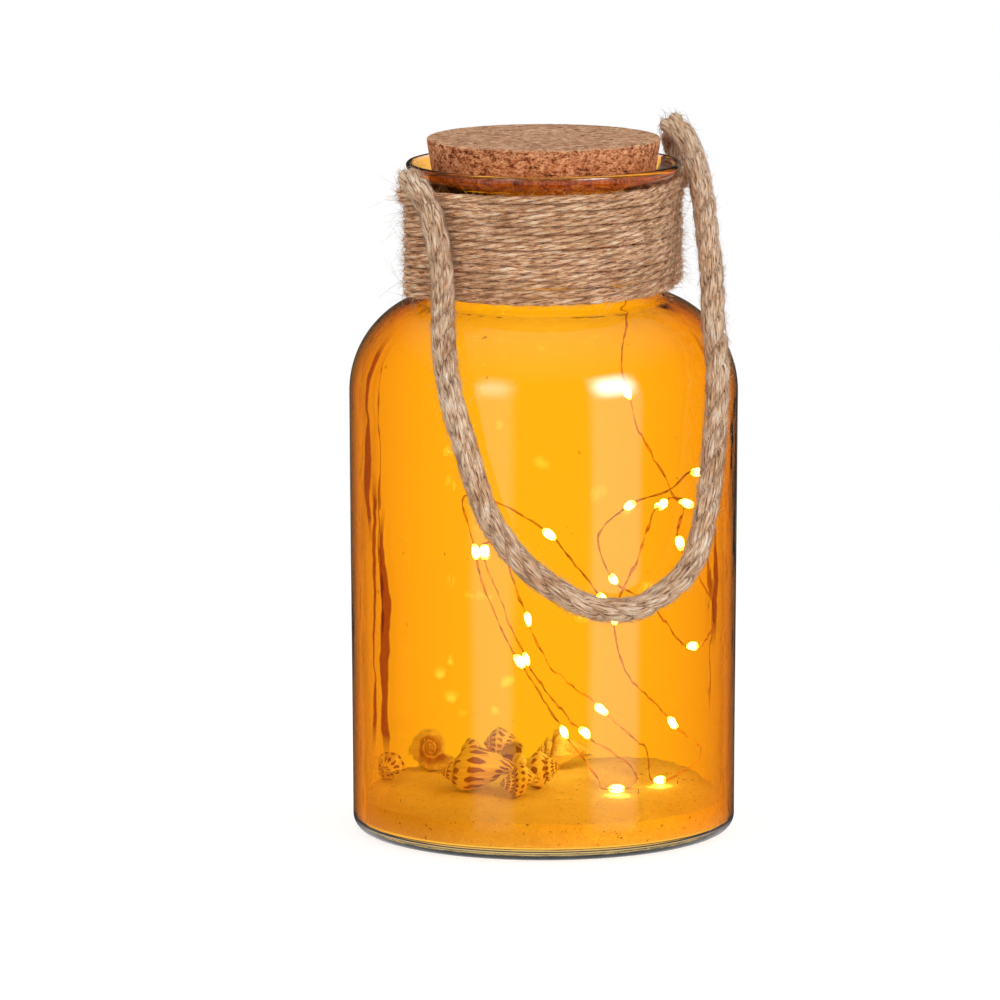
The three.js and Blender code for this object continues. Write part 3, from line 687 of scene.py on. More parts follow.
@dataclass(frozen=True)
class LacqueredGlass(Finish):
    """Recycled soda-lime glass, blown, with a sprayed amber lacquer on its outside.

    The glass is faintly green and wavy, and it darkens where one looks along the wall. The lacquer ends
    above the heel and runs in places. The mesh's coat attribute is 1 on the faces that carry it.

    Attributes:
        amber: what both walls of the jar together let through, from straight on to edge on.
        clear: what bare glass lets through, from straight on to edge on.
        light: what one coat lets through to the inside.
        shade: the colour that is left over in a long way through the glass.
        density: how fast a long way through the glass darkens, per metre.
        waves: how far apart the waves in the outer and the inner face lie, round the jar and along it, in
            millimetres.
        relief: how strong the waves of the outer and the inner face are.
        run: the colour of a run, where the lacquer is thick.
        heel: the heights between which the lacquer begins.
        lip: the heights between which it thins out to nothing.
        pool: the heights between which it gets thicker towards the lip.
        thick: what the thicker coat there lets through beside the rest.
        foot: what the thick bare glass of the foot lets through beside the rest.
        foot_top: the heights between which the foot ends.
        inner_gloss: how much the uneven inside of the wall mirrors beside the outside.
        runs: each run's bearing from the front and half width in degrees, and the heights between which it
            shows.
    """

    amber: tuple[tuple[float, str], ...] = (
        (0.0, "#FFAB10"), (0.3, "#FD990A"), (0.45, "#F88B08"), (0.6, "#E67608"), (0.7, "#C25A0C"),
        (0.78, "#783818"), (0.92, "#30221C"),
    )
    clear: tuple[tuple[float, str], ...] = (
        (0.0, "#F6FAF2"), (0.7, "#E2E4D6"), (0.9, "#9A948A"), (1.0, "#8A8478"),
    )
    light: str = "#FFDD88"
    shade: str = "#B9C78E"
    density: float = 7.0
    waves: tuple[Pair, ...] = ((18.0, 80.0), (9.0, 24.0))
    relief: Pair = (0.09, 0.08)
    run: str = "#741901"
    heel: Pair = (3.3, 3.8)
    lip: Pair = (206.4, 207.6)
    pool: Pair = (201.0, 205.5)
    thick: str = "#FFCC92"
    foot: str = "#F4C894"
    foot_top: Pair = (3.4, 3.9)
    inner_gloss: str = "#7C7C7C"
    runs: tuple[tuple[float, float, float, float], ...] = (
        (-88.3, 2.6, 92.0, 160.0), (-85.0, 1.3, 28.0, 116.0), (-79.5, 2.5, 26.0, 106.0),
        (-140.0, 1.6, 50.0, 150.0), (37.0, 1.6, 60.0, 160.0), (86.0, 2.0, 30.0, 120.0),
    )

    # The spacing of a run's bends, and its sway to each side in degrees.
    RUN_BEND, RUN_SWAY = 24.0, 2.0
    # The least share of its width, its soft edge in degrees and its faded length.
    RUN_THIN, RUN_EDGE, RUN_END = 0.35, (-0.35, 0.45), 9.0

    def paint(self, tree: Tree, shader: Node) -> None:
        """Adds the glass, its waves and depth, and the lacquer with its edges and its runs.

        Args:
            tree: the material's nodes.
            shader: the shader that they feed.
        """
        add = partial(add_node, tree)
        feed(tree, shader, {"Transmission Weight": 1.0, "IOR": 1.5, "Roughness": 0.012})
        place = add("TexCoord").outputs["Object"]
        coat = add("Attribute", attribute_name="coat")
        heights = []
        for round_it, along in self.waves:
            across, up = 1 / (round_it * MM), 1 / (along * MM)
            spread = add("Mapping", {0: place, "Scale": (across, across, up)})
            heights.append(add("TexNoise", {"Vector": spread, "Scale": 1.0, "Detail": 2.0}))
        height = add("Mix", {0: coat.outputs["Fac"], 2: heights[1], 3: heights[0]})
        strength = add("MapRange", {0: coat.outputs["Fac"], 3: self.relief[1], 4: self.relief[0]})
        bump = add("Bump", {"Height": height, "Strength": strength, "Distance": 2.0 * MM})
        feed(tree, shader, {"Normal": bump})
        depth = add("VolumeAbsorption", {"Color": to_linear(self.shade), "Density": self.density})
        output = next(n for n in tree.nodes if n.type == "OUTPUT_MATERIAL")
        feed(tree, output, {"Volume": depth})
        slant = add("LayerWeight", {"Blend": 0.5})
        bare = add("ValToRGB", {0: slant.outputs["Facing"]}, stops=self.clear)
        axes = add("SeparateXYZ", {0: place})
        low = add(
            "MapRange",
            {0: axes.outputs["Z"], 1: self.foot_top[0] * MM, 2: self.foot_top[1] * MM, 3: 1.0, 4: 0.0},
        )
        foot = add("Mix", {0: low, 6: bare, 7: to_linear(self.foot)}, **MULTIPLIED)
        sides = add("NewGeometry")
        outer = add(
            "Math", {0: coat.outputs["Fac"], 1: sides.outputs["Backfacing"]}, operation="SUBTRACT",
            use_clamp=True,
        )
        mirrored = add("Mix", {0: outer, 6: to_linear(self.inner_gloss), 7: WHITE}, data_type="RGBA")
        feed(tree, shader, {"Specular Tint": mirrored})
        coated = self.coverage(tree, axes, coat)
        whole = add("Mix", {0: coated, 6: foot, 7: self.lacquer(tree, place, axes)}, data_type="RGBA")
        passing = add("Mix", {0: coated, 6: WHITE, 7: to_linear(self.light)}, data_type="RGBA")
        feed(tree, shader, {"Base Color": whole})
        let_lamps_through(tree, shader, passing)

    def coverage(self, tree: Tree, axes: Node, coat: Node) -> Node:
        """Adds where the lacquer lies.

        Args:
            tree: the material's nodes.
            axes: the node with the place along X, Y and Z.
            coat: the node with the coat attribute.

        Returns:
            The node that gives the coated share, from 0 to 1.
        """
        add = partial(add_node, tree)
        covered = coat.outputs["Fac"]
        for low, high, first, last in ((*self.heel, 0.0, 1.0), (*self.lip, 1.0, 0.0)):
            fade = add("MapRange", {0: axes.outputs["Z"], 1: low * MM, 2: high * MM, 3: first, 4: last})
            covered = add("Math", {0: covered, 1: fade}, operation="MULTIPLY")
        return covered

    def lacquer(self, tree: Tree, place: Socket, axes: Node) -> Node:
        """Adds the lacquer's colour, deeper where one looks along the wall, with its runs.

        Args:
            tree: the material's nodes.
            place: the socket with the Object coordinates.
            axes: the node with the place along X, Y and Z.

        Returns:
            The node that gives the colour.
        """
        add = partial(add_node, tree)
        wall = add("NewGeometry")
        level = add("VectorMath", {0: wall.outputs["Normal"], 1: (1.0, 1.0, 0.0)}, operation="MULTIPLY")
        sideways = add("VectorMath", {0: level}, operation="NORMALIZE")
        slant = add("LayerWeight", {"Blend": 0.5, "Normal": sideways})
        colour = add("ValToRGB", {0: slant.outputs["Facing"]}, stops=self.amber)
        front = add("Math", {0: axes.outputs["Y"], 1: -1.0}, operation="MULTIPLY")
        bearing = add("Math", {0: axes.outputs["X"], 1: front}, operation="ARCTAN2")
        for angle, width, low, high in self.runs:
            down = add(
                "Mapping",
                {0: place, "Location": (0.0, 0.0, angle), "Scale": (0.0, 0.0, 1 / (self.RUN_BEND * MM))},
            )
            wander = add("TexNoise", {"Vector": down, "Scale": 1.0, "Detail": 3.0})
            uneven = add("SeparateColor", {0: wander.outputs["Color"]})
            moved = add(
                "MapRange",
                {
                    0: uneven, 1: 0.3, 2: 0.7, 3: math.radians(-angle - self.RUN_SWAY),
                    4: math.radians(self.RUN_SWAY - angle),
                },
                clamp=False,
            )
            away = add("Math", {0: bearing, 1: moved}, operation="ADD")
            apart = add("Math", {0: away}, operation="ABSOLUTE")
            reach = add(
                "MapRange",
                {
                    0: uneven.outputs[1], 1: 0.36, 2: 0.62, 3: math.radians(self.RUN_THIN * width),
                    4: math.radians(width),
                },
            )
            inside = add("Math", {0: reach, 1: apart}, operation="SUBTRACT")
            mask = add(
                "MapRange", {0: inside, 1: math.radians(self.RUN_EDGE[0]), 2: math.radians(self.RUN_EDGE[1])},
                interpolation_type="SMOOTHSTEP",
            )
            for start, end in ((low, low + self.RUN_END), (high, high - self.RUN_END)):
                fade = add("MapRange", {0: axes.outputs["Z"], 1: start * MM, 2: end * MM})
                mask = add("Math", {0: mask, 1: fade}, operation="MULTIPLY")
            colour = add("Mix", {0: mask, 6: colour, 7: to_linear(self.run)}, data_type="RGBA")
        pooled = add("MapRange", {0: axes.outputs["Z"], 1: self.pool[0] * MM, 2: self.pool[1] * MM})
        return add("Mix", {0: pooled, 6: colour, 7: to_linear(self.thick)}, **MULTIPLIED)


@dataclass(frozen=True)
class AirBubble(Finish):
    """A bubble of air in the glass, which bends light the other way from the glass around it.

    Attributes:
        air: the colour of what is seen through it.
        bend: the index of air over the index of the glass.
    """

    air: str = "#FFFFFF"
    bend: float = 1 / 1.5

    def paint(self, tree: Tree, shader: Node) -> None:
        """Swaps the usual shader for one of air inside glass.

        Args:
            tree: the material's nodes.
            shader: the shader that they feed.
        """
        add = partial(add_node, tree)
        tree.nodes.remove(shader)
        inside = add("BsdfGlass", {"Color": to_linear(self.air), "Roughness": 0.0, "IOR": self.bend})
        let_lamps_through(tree, inside, to_linear(self.air))


@dataclass(frozen=True)
class JuteFibre(Finish):
    """Raw jute, spun: dull straw-brown fibres of many shades along each strand, with a soft fuzzy sheen.

    Attributes:
        shades: the fibres' colours, from the darkest to the palest.
        run: how long a fibre shows along the strand.
        girth: how many fibres lie round the strand.
        groove: the painted shade in the groove between two strands: what is left of the colour there.
    """

    shades: tuple[str, str, str, str]
    run: float
    girth: float
    groove: str

    # The spacing of weathered patches, and how much finer the fine fibres are than the coarse ones.
    PATCH, FINER = 7.0, 2.4
    # The shares of the pattern at which the shades lie.
    SPREAD = (0.38, 0.46, 0.53, 0.63)

    def paint(self, tree: Tree, shader: Node) -> None:
        """Adds coarse and fine fibres along the strand's UV map, and a painted shade between strands.

        Args:
            tree: the material's nodes.
            shader: the shader that they feed.
        """
        add = partial(add_node, tree)
        place = add("TexCoord")
        layers = []
        for finer in (1.0, self.FINER):
            along = add(
                "Mapping", {0: place.outputs["UV"], "Scale": (finer / self.run, self.girth * finer, 1.0)},
            )
            layers.append(
                add("TexNoise", {"Vector": along, "Scale": 1.0, "Detail": 3.0}, noise_dimensions="2D")
            )
        fibres = add("Mix", {0: 0.5, 2: layers[0], 3: layers[1]})
        shades = add("ValToRGB", {0: fibres}, stops=list(zip(self.SPREAD, self.shades)))
        patches = add(
            "TexNoise", {"Vector": place.outputs["Object"], "Scale": 1 / (self.PATCH * MM), "Detail": 3.0},
        )
        weather = add("ValToRGB", {0: patches}, stops=[(0.32, "#DCC4A8"), (0.6, "#FFFFFF")])
        worn = add("Mix", {0: 0.8, 6: shades, 7: weather}, **MULTIPLIED)
        # Painted shade between strands: the groove colour darkens the fibres where the attribute read here and the
        # fibre pattern are low.
        proud = add("Attribute", attribute_name="proud")
        uneven = add("Math", {0: fibres, 1: 0.7, 2: proud.outputs["Fac"]}, operation="MULTIPLY_ADD")
        painted_groove_shade = add("ValToRGB", {0: uneven}, stops=[(0.4, self.groove), (0.9, "#FFFFFF")])
        shaded = add("Mix", {0: 1.0, 6: worn, 7: painted_groove_shade}, **MULTIPLIED)
        bump = add("Bump", {"Height": fibres, "Strength": 0.8, "Distance": 0.5 * MM})
        feed(
            tree, shader,
            {
                "Base Color": shaded, "Normal": bump, "Roughness": 0.85, "Specular IOR Level": 0.25,
                "Sheen Weight": 0.2, "Sheen Roughness": 0.6,
            },
        )


@dataclass(frozen=True)
class PressedCork(Finish):
    """Cork granules pressed with binder, sanded: grains of mixed browns with small dark specks and pores.

    Attributes:
        grain: the usual width of a granule.
        specks: the spacing of the fine specks and of the larger pores.
        side: the tint of the side, a painted light that makes it deeper than the top.
    """

    grain: float = 1.9
    specks: Pair = (0.9, 2.6)
    side: str = "#FFE9DA"

    # How flat a granule is pressed, and the spacing and the reach of its ragged edge.
    FLAT, STIR = 1.5, (1.2, 2.2)
    # How much of the fine and of the coarse pattern is speck.
    SPARSE = (0.37, 0.34)

    def paint(self, tree: Tree, shader: Node) -> None:
        """Adds the granules, their specks and pores, a fine relief, and painted light that leaves the top paler, with
        fainter specks, than the side.

        Args:
            tree: the material's nodes.
            shader: the shader that they feed.
        """
        add = partial(add_node, tree)
        place = add("TexCoord").outputs["Object"]
        stir = add("TexNoise", {"Vector": place, "Scale": 1 / (self.STIR[0] * MM), "Detail": 3.0})
        moved = add(
            "VectorMath", {0: stir.outputs["Color"], 1: (self.STIR[1] * MM,) * 3, 2: place},
            operation="MULTIPLY_ADD",
        )
        dense = 1 / (self.grain * MM)
        laid = add("Mapping", {0: moved, "Scale": (dense, dense, self.FLAT * dense)})
        grains = add("TexVoronoi", {"Vector": laid, "Scale": 1.0})
        one = add("SeparateColor", {0: grains.outputs["Color"]})
        colour = add(
            "ValToRGB", {0: one},
            stops=[(0.0, "#96602F"), (0.25, "#C4875C"), (0.65, "#DAA179"), (1.0, "#F4CAA2")],
        )
        seams = add("TexVoronoi", {"Vector": laid, "Scale": 1.0}, feature="DISTANCE_TO_EDGE")
        pale = add("MapRange", {0: seams.outputs["Distance"], 1: 0.02, 2: 0.13, 3: 0.75, 4: 0.0})
        colour = add("Mix", {0: pale, 6: colour, 7: to_linear("#E7C19C")}, data_type="RGBA")
        # Painted light: the top gets a painted sheen that halves its specks, and the side a deeper tint.
        facing = add("NewGeometry")
        upright = add("SeparateXYZ", {0: facing.outputs["True Normal"]})
        painted_top_side_light = add("MapRange", {0: upright.outputs["Z"], 1: 0.2, 2: 0.8, 3: 1.0, 4: 0.0})
        # The specks' strength: weaker on the top under its painted sheen.
        worn = add("MapRange", {0: painted_top_side_light, 3: 0.5, 4: 1.0})
        for spacing, depth in zip(self.specks, self.SPARSE):
            dense = 1 / (spacing * MM)
            drawn = add("Mapping", {0: place, "Scale": (dense, dense, 2 * dense)})
            fine = add("TexNoise", {"Vector": drawn, "Scale": 1.0, "Detail": 4.0, "Roughness": 0.6})
            dark = add(
                "ValToRGB", {0: fine},
                stops=[(depth, "#70401F"), (depth + 0.06, "#E2C8B0"), (depth + 0.2, "#FFFFFF")],
            )
            colour = add("Mix", {0: worn, 6: colour, 7: dark}, **MULTIPLIED)
        colour = add("Mix", {0: painted_top_side_light, 6: colour, 7: to_linear(self.side)}, **MULTIPLIED)
        bump = add("Bump", {"Height": fine, "Strength": 0.4, "Distance": 0.6 * MM})
        feed(
            tree, shader,
            {"Base Color": colour, "Normal": bump, "Roughness": 0.85, "Specular IOR Level": 0.25},
        )


@dataclass(frozen=True)
class DrySand(Finish):
    """Fine washed sand, poured: pale quartz grains with a few dark ones.

    Attributes:
        grain: the grains' width in millimetres, drawn a little coarse so that they show.
        drift: the spacing of darker drifts.
    """

    grain: float = 0.55
    drift: float = 15.0

    def paint(self, tree: Tree, shader: Node) -> None:
        """Adds the grains, each with its own shade and relief.

        Args:
            tree: the material's nodes.
            shader: the shader that they feed.
        """
        add = partial(add_node, tree)
        place = add("TexCoord").outputs["Object"]
        grains = add("TexVoronoi", {"Vector": place, "Scale": 1 / (self.grain * MM)})
        one = add("SeparateColor", {0: grains.outputs["Color"]})
        shades = add(
            "ValToRGB", {0: one},
            stops=[(0.0, "#8C6A42"), (0.02, "#F8DEB4"), (0.5, "#FFEAC6"), (1.0, "#FFF5E2")],
        )
        drifts = add("TexNoise", {"Vector": place, "Scale": 1 / (self.drift * MM), "Detail": 3.0})
        damp = add("ValToRGB", {0: drifts}, stops=[(0.3, "#F8F0E2"), (0.6, "#FFFFFF")])
        whole = add("Mix", {0: 1.0, 6: shades, 7: damp}, **MULTIPLIED)
        bump = add(
            "Bump", {"Height": grains.outputs["Distance"], "Strength": 0.3, "Distance": 0.3 * MM},
            invert=True,
        )
        feed(tree, shader, {"Base Color": whole, "Normal": bump, "Roughness": 0.9})


class Marking(Enum):
    """A shell's patches round a whorl, rows across it, their strength and how far they wander."""

    CHECKS = (15.0, 8.0, 1.0, 0.25)
    BARS = (13.0, 6.0, 0.95, 0.45)
    SPOTS = (13.0, 7.0, 0.85, 0.6)
    PALE = (4.0, 3.0, 0.3, 0.9)


@dataclass(frozen=True)
class ShellPorcelain(Finish):
    """Sea shell, grown: smooth cream lime with brown markings that follow the whorls, and faint growth lines.

    Attributes:
        marking: the pattern of the markings.
        ground: the shell's own colour.
        brown: the colour of the markings.
        wander: how many bends the markings' rows have in a turn.
        lines: how many growth lines lie in a turn, and how often they change across the tube.
    """

    marking: Marking = Marking.CHECKS
    ground: str = "#F8E8CC"
    brown: str = "#9C5A28"
    wander: float = 9.0
    lines: Pair = (60.0, 1.5)

    def paint(self, tree: Tree, shader: Node) -> None:
        """Adds the markings and growth lines along the whorls, and a painted shade where one whorl meets the next.

        Args:
            tree: the material's nodes.
            shader: the shader that they feed.
        """
        add = partial(add_node, tree)
        columns, rows, strength, stray = self.marking.value
        place = add("TexCoord").outputs["UV"]
        bent = add("TexNoise", {"Vector": place, "Scale": self.wander, "Detail": 2.0})
        axes = add("SeparateXYZ", {0: place})
        waves = []
        for axis, repeats in (("X", columns), ("Y", rows)):
            angle = add("Math", {0: axes.outputs[axis], 1: TURN * repeats}, operation="MULTIPLY")
            moved = add("Math", {0: bent, 1: stray * self.wander, 2: angle}, operation="MULTIPLY_ADD")
            waves.append(add("Math", {0: moved}, operation="SINE"))
        patches = add("Math", {0: waves[0], 1: waves[1]}, operation="ADD")
        patched = {0: patches, 1: 0.35, 2: 0.75, 4: strength}
        mask = add("MapRange", patched, interpolation_type="SMOOTHSTEP")
        lines = add("Mapping", {0: place, "Scale": (*self.lines, 1.0)})
        growth = add("TexNoise", {"Vector": lines, "Scale": 1.0, "Detail": 2.0})
        ground = add(
            "ValToRGB", {0: growth}, stops=[(0.3, "#E0C49A"), (0.55, self.ground), (0.75, "#FBF2DF")],
        )
        colour = add("Mix", {0: mask, 6: ground, 7: to_linear(self.brown)}, data_type="RGBA")
        # Painted shade along the line where one whorl meets the next, as the crease there would be shaded.
        painted_suture_shade = add(
            "ValToRGB", {0: axes.outputs["Y"]},
            stops=[(0.14, "#FFFFFF"), (0.2, "#C89C66"), (0.25, "#C89C66"), (0.33, "#FFFFFF")],
        )
        whole = add("Mix", {0: 1.0, 6: colour, 7: painted_suture_shade}, **MULTIPLIED)
        bump = add("Bump", {"Height": growth, "Strength": 0.2, "Distance": 0.2 * MM})
        feed(tree, shader, {"Base Color": whole, "Normal": bump, "Roughness": 0.38})


@dataclass(frozen=True)
class EnamelledCopper(Finish):
    """Fine copper wire under clear enamel, drawn: a warm metal that dulls in places.

    Attributes:
        patch: the spacing of the dull places.
    """

    patch: float = 3.0

    def paint(self, tree: Tree, shader: Node) -> None:
        """Adds the metal with uneven shade and gloss.

        Args:
            tree: the material's nodes.
            shader: the shader that they feed.
        """
        add = partial(add_node, tree)
        place = add("TexCoord").outputs["Object"]
        uneven = add("TexNoise", {"Vector": place, "Scale": 1 / (self.patch * MM), "Detail": 2.0})
        shades = add("ValToRGB", {0: uneven}, stops=[(0.3, "#A8703C"), (0.7, "#E0A468")])
        gloss = add("MapRange", {0: uneven, 3: 0.3, 4: 0.55})
        feed(tree, shader, {"Base Color": shades, "Roughness": gloss, "Metallic": 1.0})


@dataclass(frozen=True)
class LitResin(Finish):
    """A drop of clear resin over a lit white chip, cast: white-hot at the chip and warm at its two ends.

    Attributes:
        light: the colour of the light.
        low: the brightness at the ends of the drop.
        high: the brightness added at the chip.
    """

    light: str = "#D2E4FF"
    low: float = 5.0
    high: float = 24.0

    def paint(self, tree: Tree, shader: Node) -> None:
        """Adds light that fades from the chip to the ends, by the drop's own glow attribute.

        Args:
            tree: the material's nodes.
            shader: the shader that they feed.
        """
        add = partial(add_node, tree)
        glow = add("Attribute", attribute_name="glow")
        level = add("Math", {0: glow.outputs["Fac"], 1: self.high, 2: self.low}, operation="MULTIPLY_ADD")
        tint = add("ValToRGB", {0: glow.outputs["Fac"]}, stops=[(0.0, "#FFD27A"), (0.6, self.light)])
        feed(
            tree, shader,
            {"Emission Color": tint, "Emission Strength": level, "Base Color": tint, "Roughness": 0.12},
        )


@dataclass(frozen=True)
class MouldedPlastic(Finish):
    """Injection-moulded ABS: an even colour with a fine eroded texture and slightly uneven gloss.

    Attributes:
        colour: the plastic's colour.
        worn: the shade of its scuffed high spots.
        texture: the spacing of the eroded texture.
        scuff: the spacing of the scuffs.
    """

    colour: str
    worn: str
    texture: float = 0.45
    scuff: float = 5.0

    def paint(self, tree: Tree, shader: Node) -> None:
        """Adds the texture's relief, scuffs and gloss.

        Args:
            tree: the material's nodes.
            shader: the shader that they feed.
        """
        add = partial(add_node, tree)
        place = add("TexCoord").outputs["Object"]
        pits = add("TexNoise", {"Vector": place, "Scale": 1 / (self.texture * MM), "Detail": 3.0})
        scuffs = add("TexNoise", {"Vector": place, "Scale": 1 / (self.scuff * MM), "Detail": 4.0})
        shades = add("ValToRGB", {0: scuffs}, stops=[(0.45, self.colour), (0.8, self.worn)])
        gloss = add("MapRange", {0: scuffs, 3: 0.4, 4: 0.65})
        bump = add("Bump", {"Height": pits, "Strength": 0.25, "Distance": 0.08 * MM})
        feed(tree, shader, {"Base Color": shades, "Roughness": gloss, "Normal": bump})


@dataclass(frozen=True)
class PlatedSteel(Finish):
    """Nickel-plated steel, rolled: bright metal with fine lines along X and faint smears.

    Attributes:
        line: the spacing of the rolling lines.
        drawn: how many times longer than wide a line is.
    """

    line: float = 0.12
    drawn: float = 40.0

    def paint(self, tree: Tree, shader: Node) -> None:
        """Adds the rolling lines and smears.

        Args:
            tree: the material's nodes.
            shader: the shader that they feed.
        """
        add = partial(add_node, tree)
        place = add("TexCoord").outputs["Object"]
        fine = 1 / (self.line * MM)
        rolled = add("Mapping", {0: place, "Scale": (fine / self.drawn, fine, fine)})
        lines = add("TexNoise", {"Vector": rolled, "Scale": 1.0, "Detail": 3.0})
        shades = add("ValToRGB", {0: lines}, stops=[(0.3, "#B4B5B6"), (0.7, "#DEDEDC")])
        gloss = add("MapRange", {0: lines, 3: 0.18, 4: 0.42})
        feed(tree, shader, {"Base Color": shades, "Roughness": gloss, "Metallic": 1.0})


# Studio


@dataclass
class Studio:
    """The camera, the soft light, the white surroundings and the floor.

    Attributes:
        bearing: the camera's bearing from the front of the jar, in degrees, positive towards +X.
        height: the camera's angle above level, in degrees.
        distance: the camera's distance from what it looks at, in metres.
        aim: the height that it looks at, in metres.
        lens: the focal length.
        shift: how far the frame is moved sideways, as a share of its width.
        panels: how far from the jar the panels hang, in metres.
        floor_radius, floor_drop: the round floor's radius in metres, and how far it lies under the jar.
    """

    bearing: float = -24.5
    height: float = 9.02
    distance: float = 2.6576
    aim: float = 0.1025
    lens: float = 309.24
    shift: float = -0.0437
    panels: float = 1.25
    floor_radius: float = 0.5
    floor_drop: float = 0.3

    # The width of the camera's sensor, and how far it sees in metres.
    SENSOR, FAR = 36.0, 20.0
    # How bright the room is for what it lights, from below to overhead.
    ROOM = (0.35, 0.85)
    # How bright its walls and ceiling and its table are in what mirrors them.
    CEILING, TABLE = (0.05, 0.7), 0.85
    # How bright the world and the floor are through glass.
    THROUGH = (1.28, 1.26)
    # How bright the floor is without light, how many of its fibres lie in a metre, and its sides.
    FLOOR_LIFT, PULP, FLOOR_SIDES = 0.78, 900.0, 96

    def towards(self, degrees: float, rise: float) -> Vector:
        """The direction from the jar to a place in the studio.

        Args:
            degrees: the bearing from the camera's, positive towards the camera's right.
            rise: the angle above level, in degrees.

        Returns:
            A vector of length 1.
        """
        a, e = math.radians(self.bearing + degrees), math.radians(rise)
        return Vector((math.sin(a) * math.cos(e), -math.cos(a) * math.cos(e), math.sin(e)))

    def add_camera(self) -> None:
        """Puts the camera where the photograph was taken from."""
        data = bpy.data.cameras.new("camera")
        data.sensor_width = self.SENSOR
        data.lens = self.lens
        data.shift_x = self.shift
        data.clip_end = self.FAR
        camera = bpy.data.objects.new("camera", data)
        ahead = self.towards(0, self.height)
        camera.location = Vector((0, 0, self.aim)) + self.distance * ahead
        camera.rotation_euler = (-ahead).to_track_quat("-Z", "Y").to_euler()
        bpy.context.scene.collection.objects.link(camera)
        bpy.context.scene.camera = camera

    def add_panel(
        self, name: str, degrees: float, rise: float, size: Pair, level: float,
        soft: Pair, mirrored: bool = False,
    ) -> None:
        """Hangs a soft panel that faces the jar.

        Args:
            name: the panel's name.
            degrees: its bearing from the camera's, positive towards the camera's right.
            rise: its middle's angle above level, in degrees.
            size: its width and height, in metres.
            level: its brightness beside a white surface's.
            soft: the shares of its width and height over which it fades at each edge.
            mirrored: whether it only shows in what mirrors it and lights nothing else.
        """
        data = bpy.data.lights.new(name, "AREA")
        data.shape = "RECTANGLE"
        data.size, data.size_y = size
        data.energy = level * math.pi * size[0] * size[1]
        data.use_nodes = True
        tree = data.node_tree
        add = partial(add_node, tree)
        shine = next(n for n in tree.nodes if n.type == "EMISSION")
        spot = add("NewGeometry")
        axes = add("SeparateXYZ", {0: spot.outputs["Parametric"]})
        fades = []
        for axis, share in zip("XY", soft):
            inwards = add("Math", {0: axes.outputs[axis], 1: 0.5}, operation="PINGPONG")
            fades.append(add("MapRange", {0: inwards, 2: share}, interpolation_type="SMOOTHSTEP"))
        fade = add("Math", {0: fades[0], 1: fades[1]}, operation="MULTIPLY")
        feed(tree, shine, {"Strength": fade})
        panel = bpy.data.objects.new(name, data)
        out = self.towards(degrees, rise)
        panel.location = Vector((0, 0, self.aim)) + self.panels * out
        panel.rotation_euler = (-out).to_track_quat("-Z", "Y").to_euler()
        panel.visible_camera = False
        panel.visible_diffuse = not mirrored
        panel.visible_transmission = False
        bpy.context.scene.collection.objects.link(panel)

    def add_light(self) -> None:
        """Hangs the two tall panels and their bright upper ends."""
        self.add_panel("panel_left", -30, 6, (0.72, 1.1), 1.4, (0.26, 0.12))
        self.add_panel("panel_right", 42.5, 6, (0.86, 1.1), 1.9, (0.2, 0.12))
        self.add_panel("panel_left_top", -30, 24, (0.62, 0.66), 5.0, (0.45, 0.5), True)
        self.add_panel("panel_right_top", 42.5, 24, (0.74, 0.66), 30.0, (0.4, 0.5), True)

    def add_surroundings(self) -> None:
        """Makes the world white in the view and through glass, and a dim room over a table in mirrors."""
        world = bpy.data.worlds.new("studio")
        bpy.context.scene.world = world
        world.use_nodes = True
        tree = world.node_tree
        add = partial(add_node, tree)
        tree.nodes.clear()
        way = add("TexCoord")
        axes = add("SeparateXYZ", {0: way.outputs["Generated"]})
        room = add("MapRange", {0: axes.outputs["Z"], 1: -1.0, 2: 1.0, 3: self.ROOM[0], 4: self.ROOM[1]})
        ceiling = add(
            "MapRange", {0: axes.outputs["Z"], 1: 0.5, 2: 1.0, 3: self.CEILING[0], 4: self.CEILING[1]},
        )
        table = add("MapRange", {0: axes.outputs["Z"], 1: -0.2, 2: -0.4, 4: self.TABLE})
        both = add("Math", {0: ceiling, 1: table}, operation="ADD")
        path = add("LightPath")
        lit = room
        for kind, level in (
            ("Is Glossy Ray", both),
            ("Is Transmission Ray", self.THROUGH[0]),
            ("Diffuse Depth", room),
            ("Is Camera Ray", 1.0),
        ):
            lit = add("Mix", {0: path.outputs[kind], 2: lit, 3: level})
        glow = add("Background", {"Color": WHITE, "Strength": lit})
        tree.nodes.active = add("OutputWorld", {"Surface": glow})

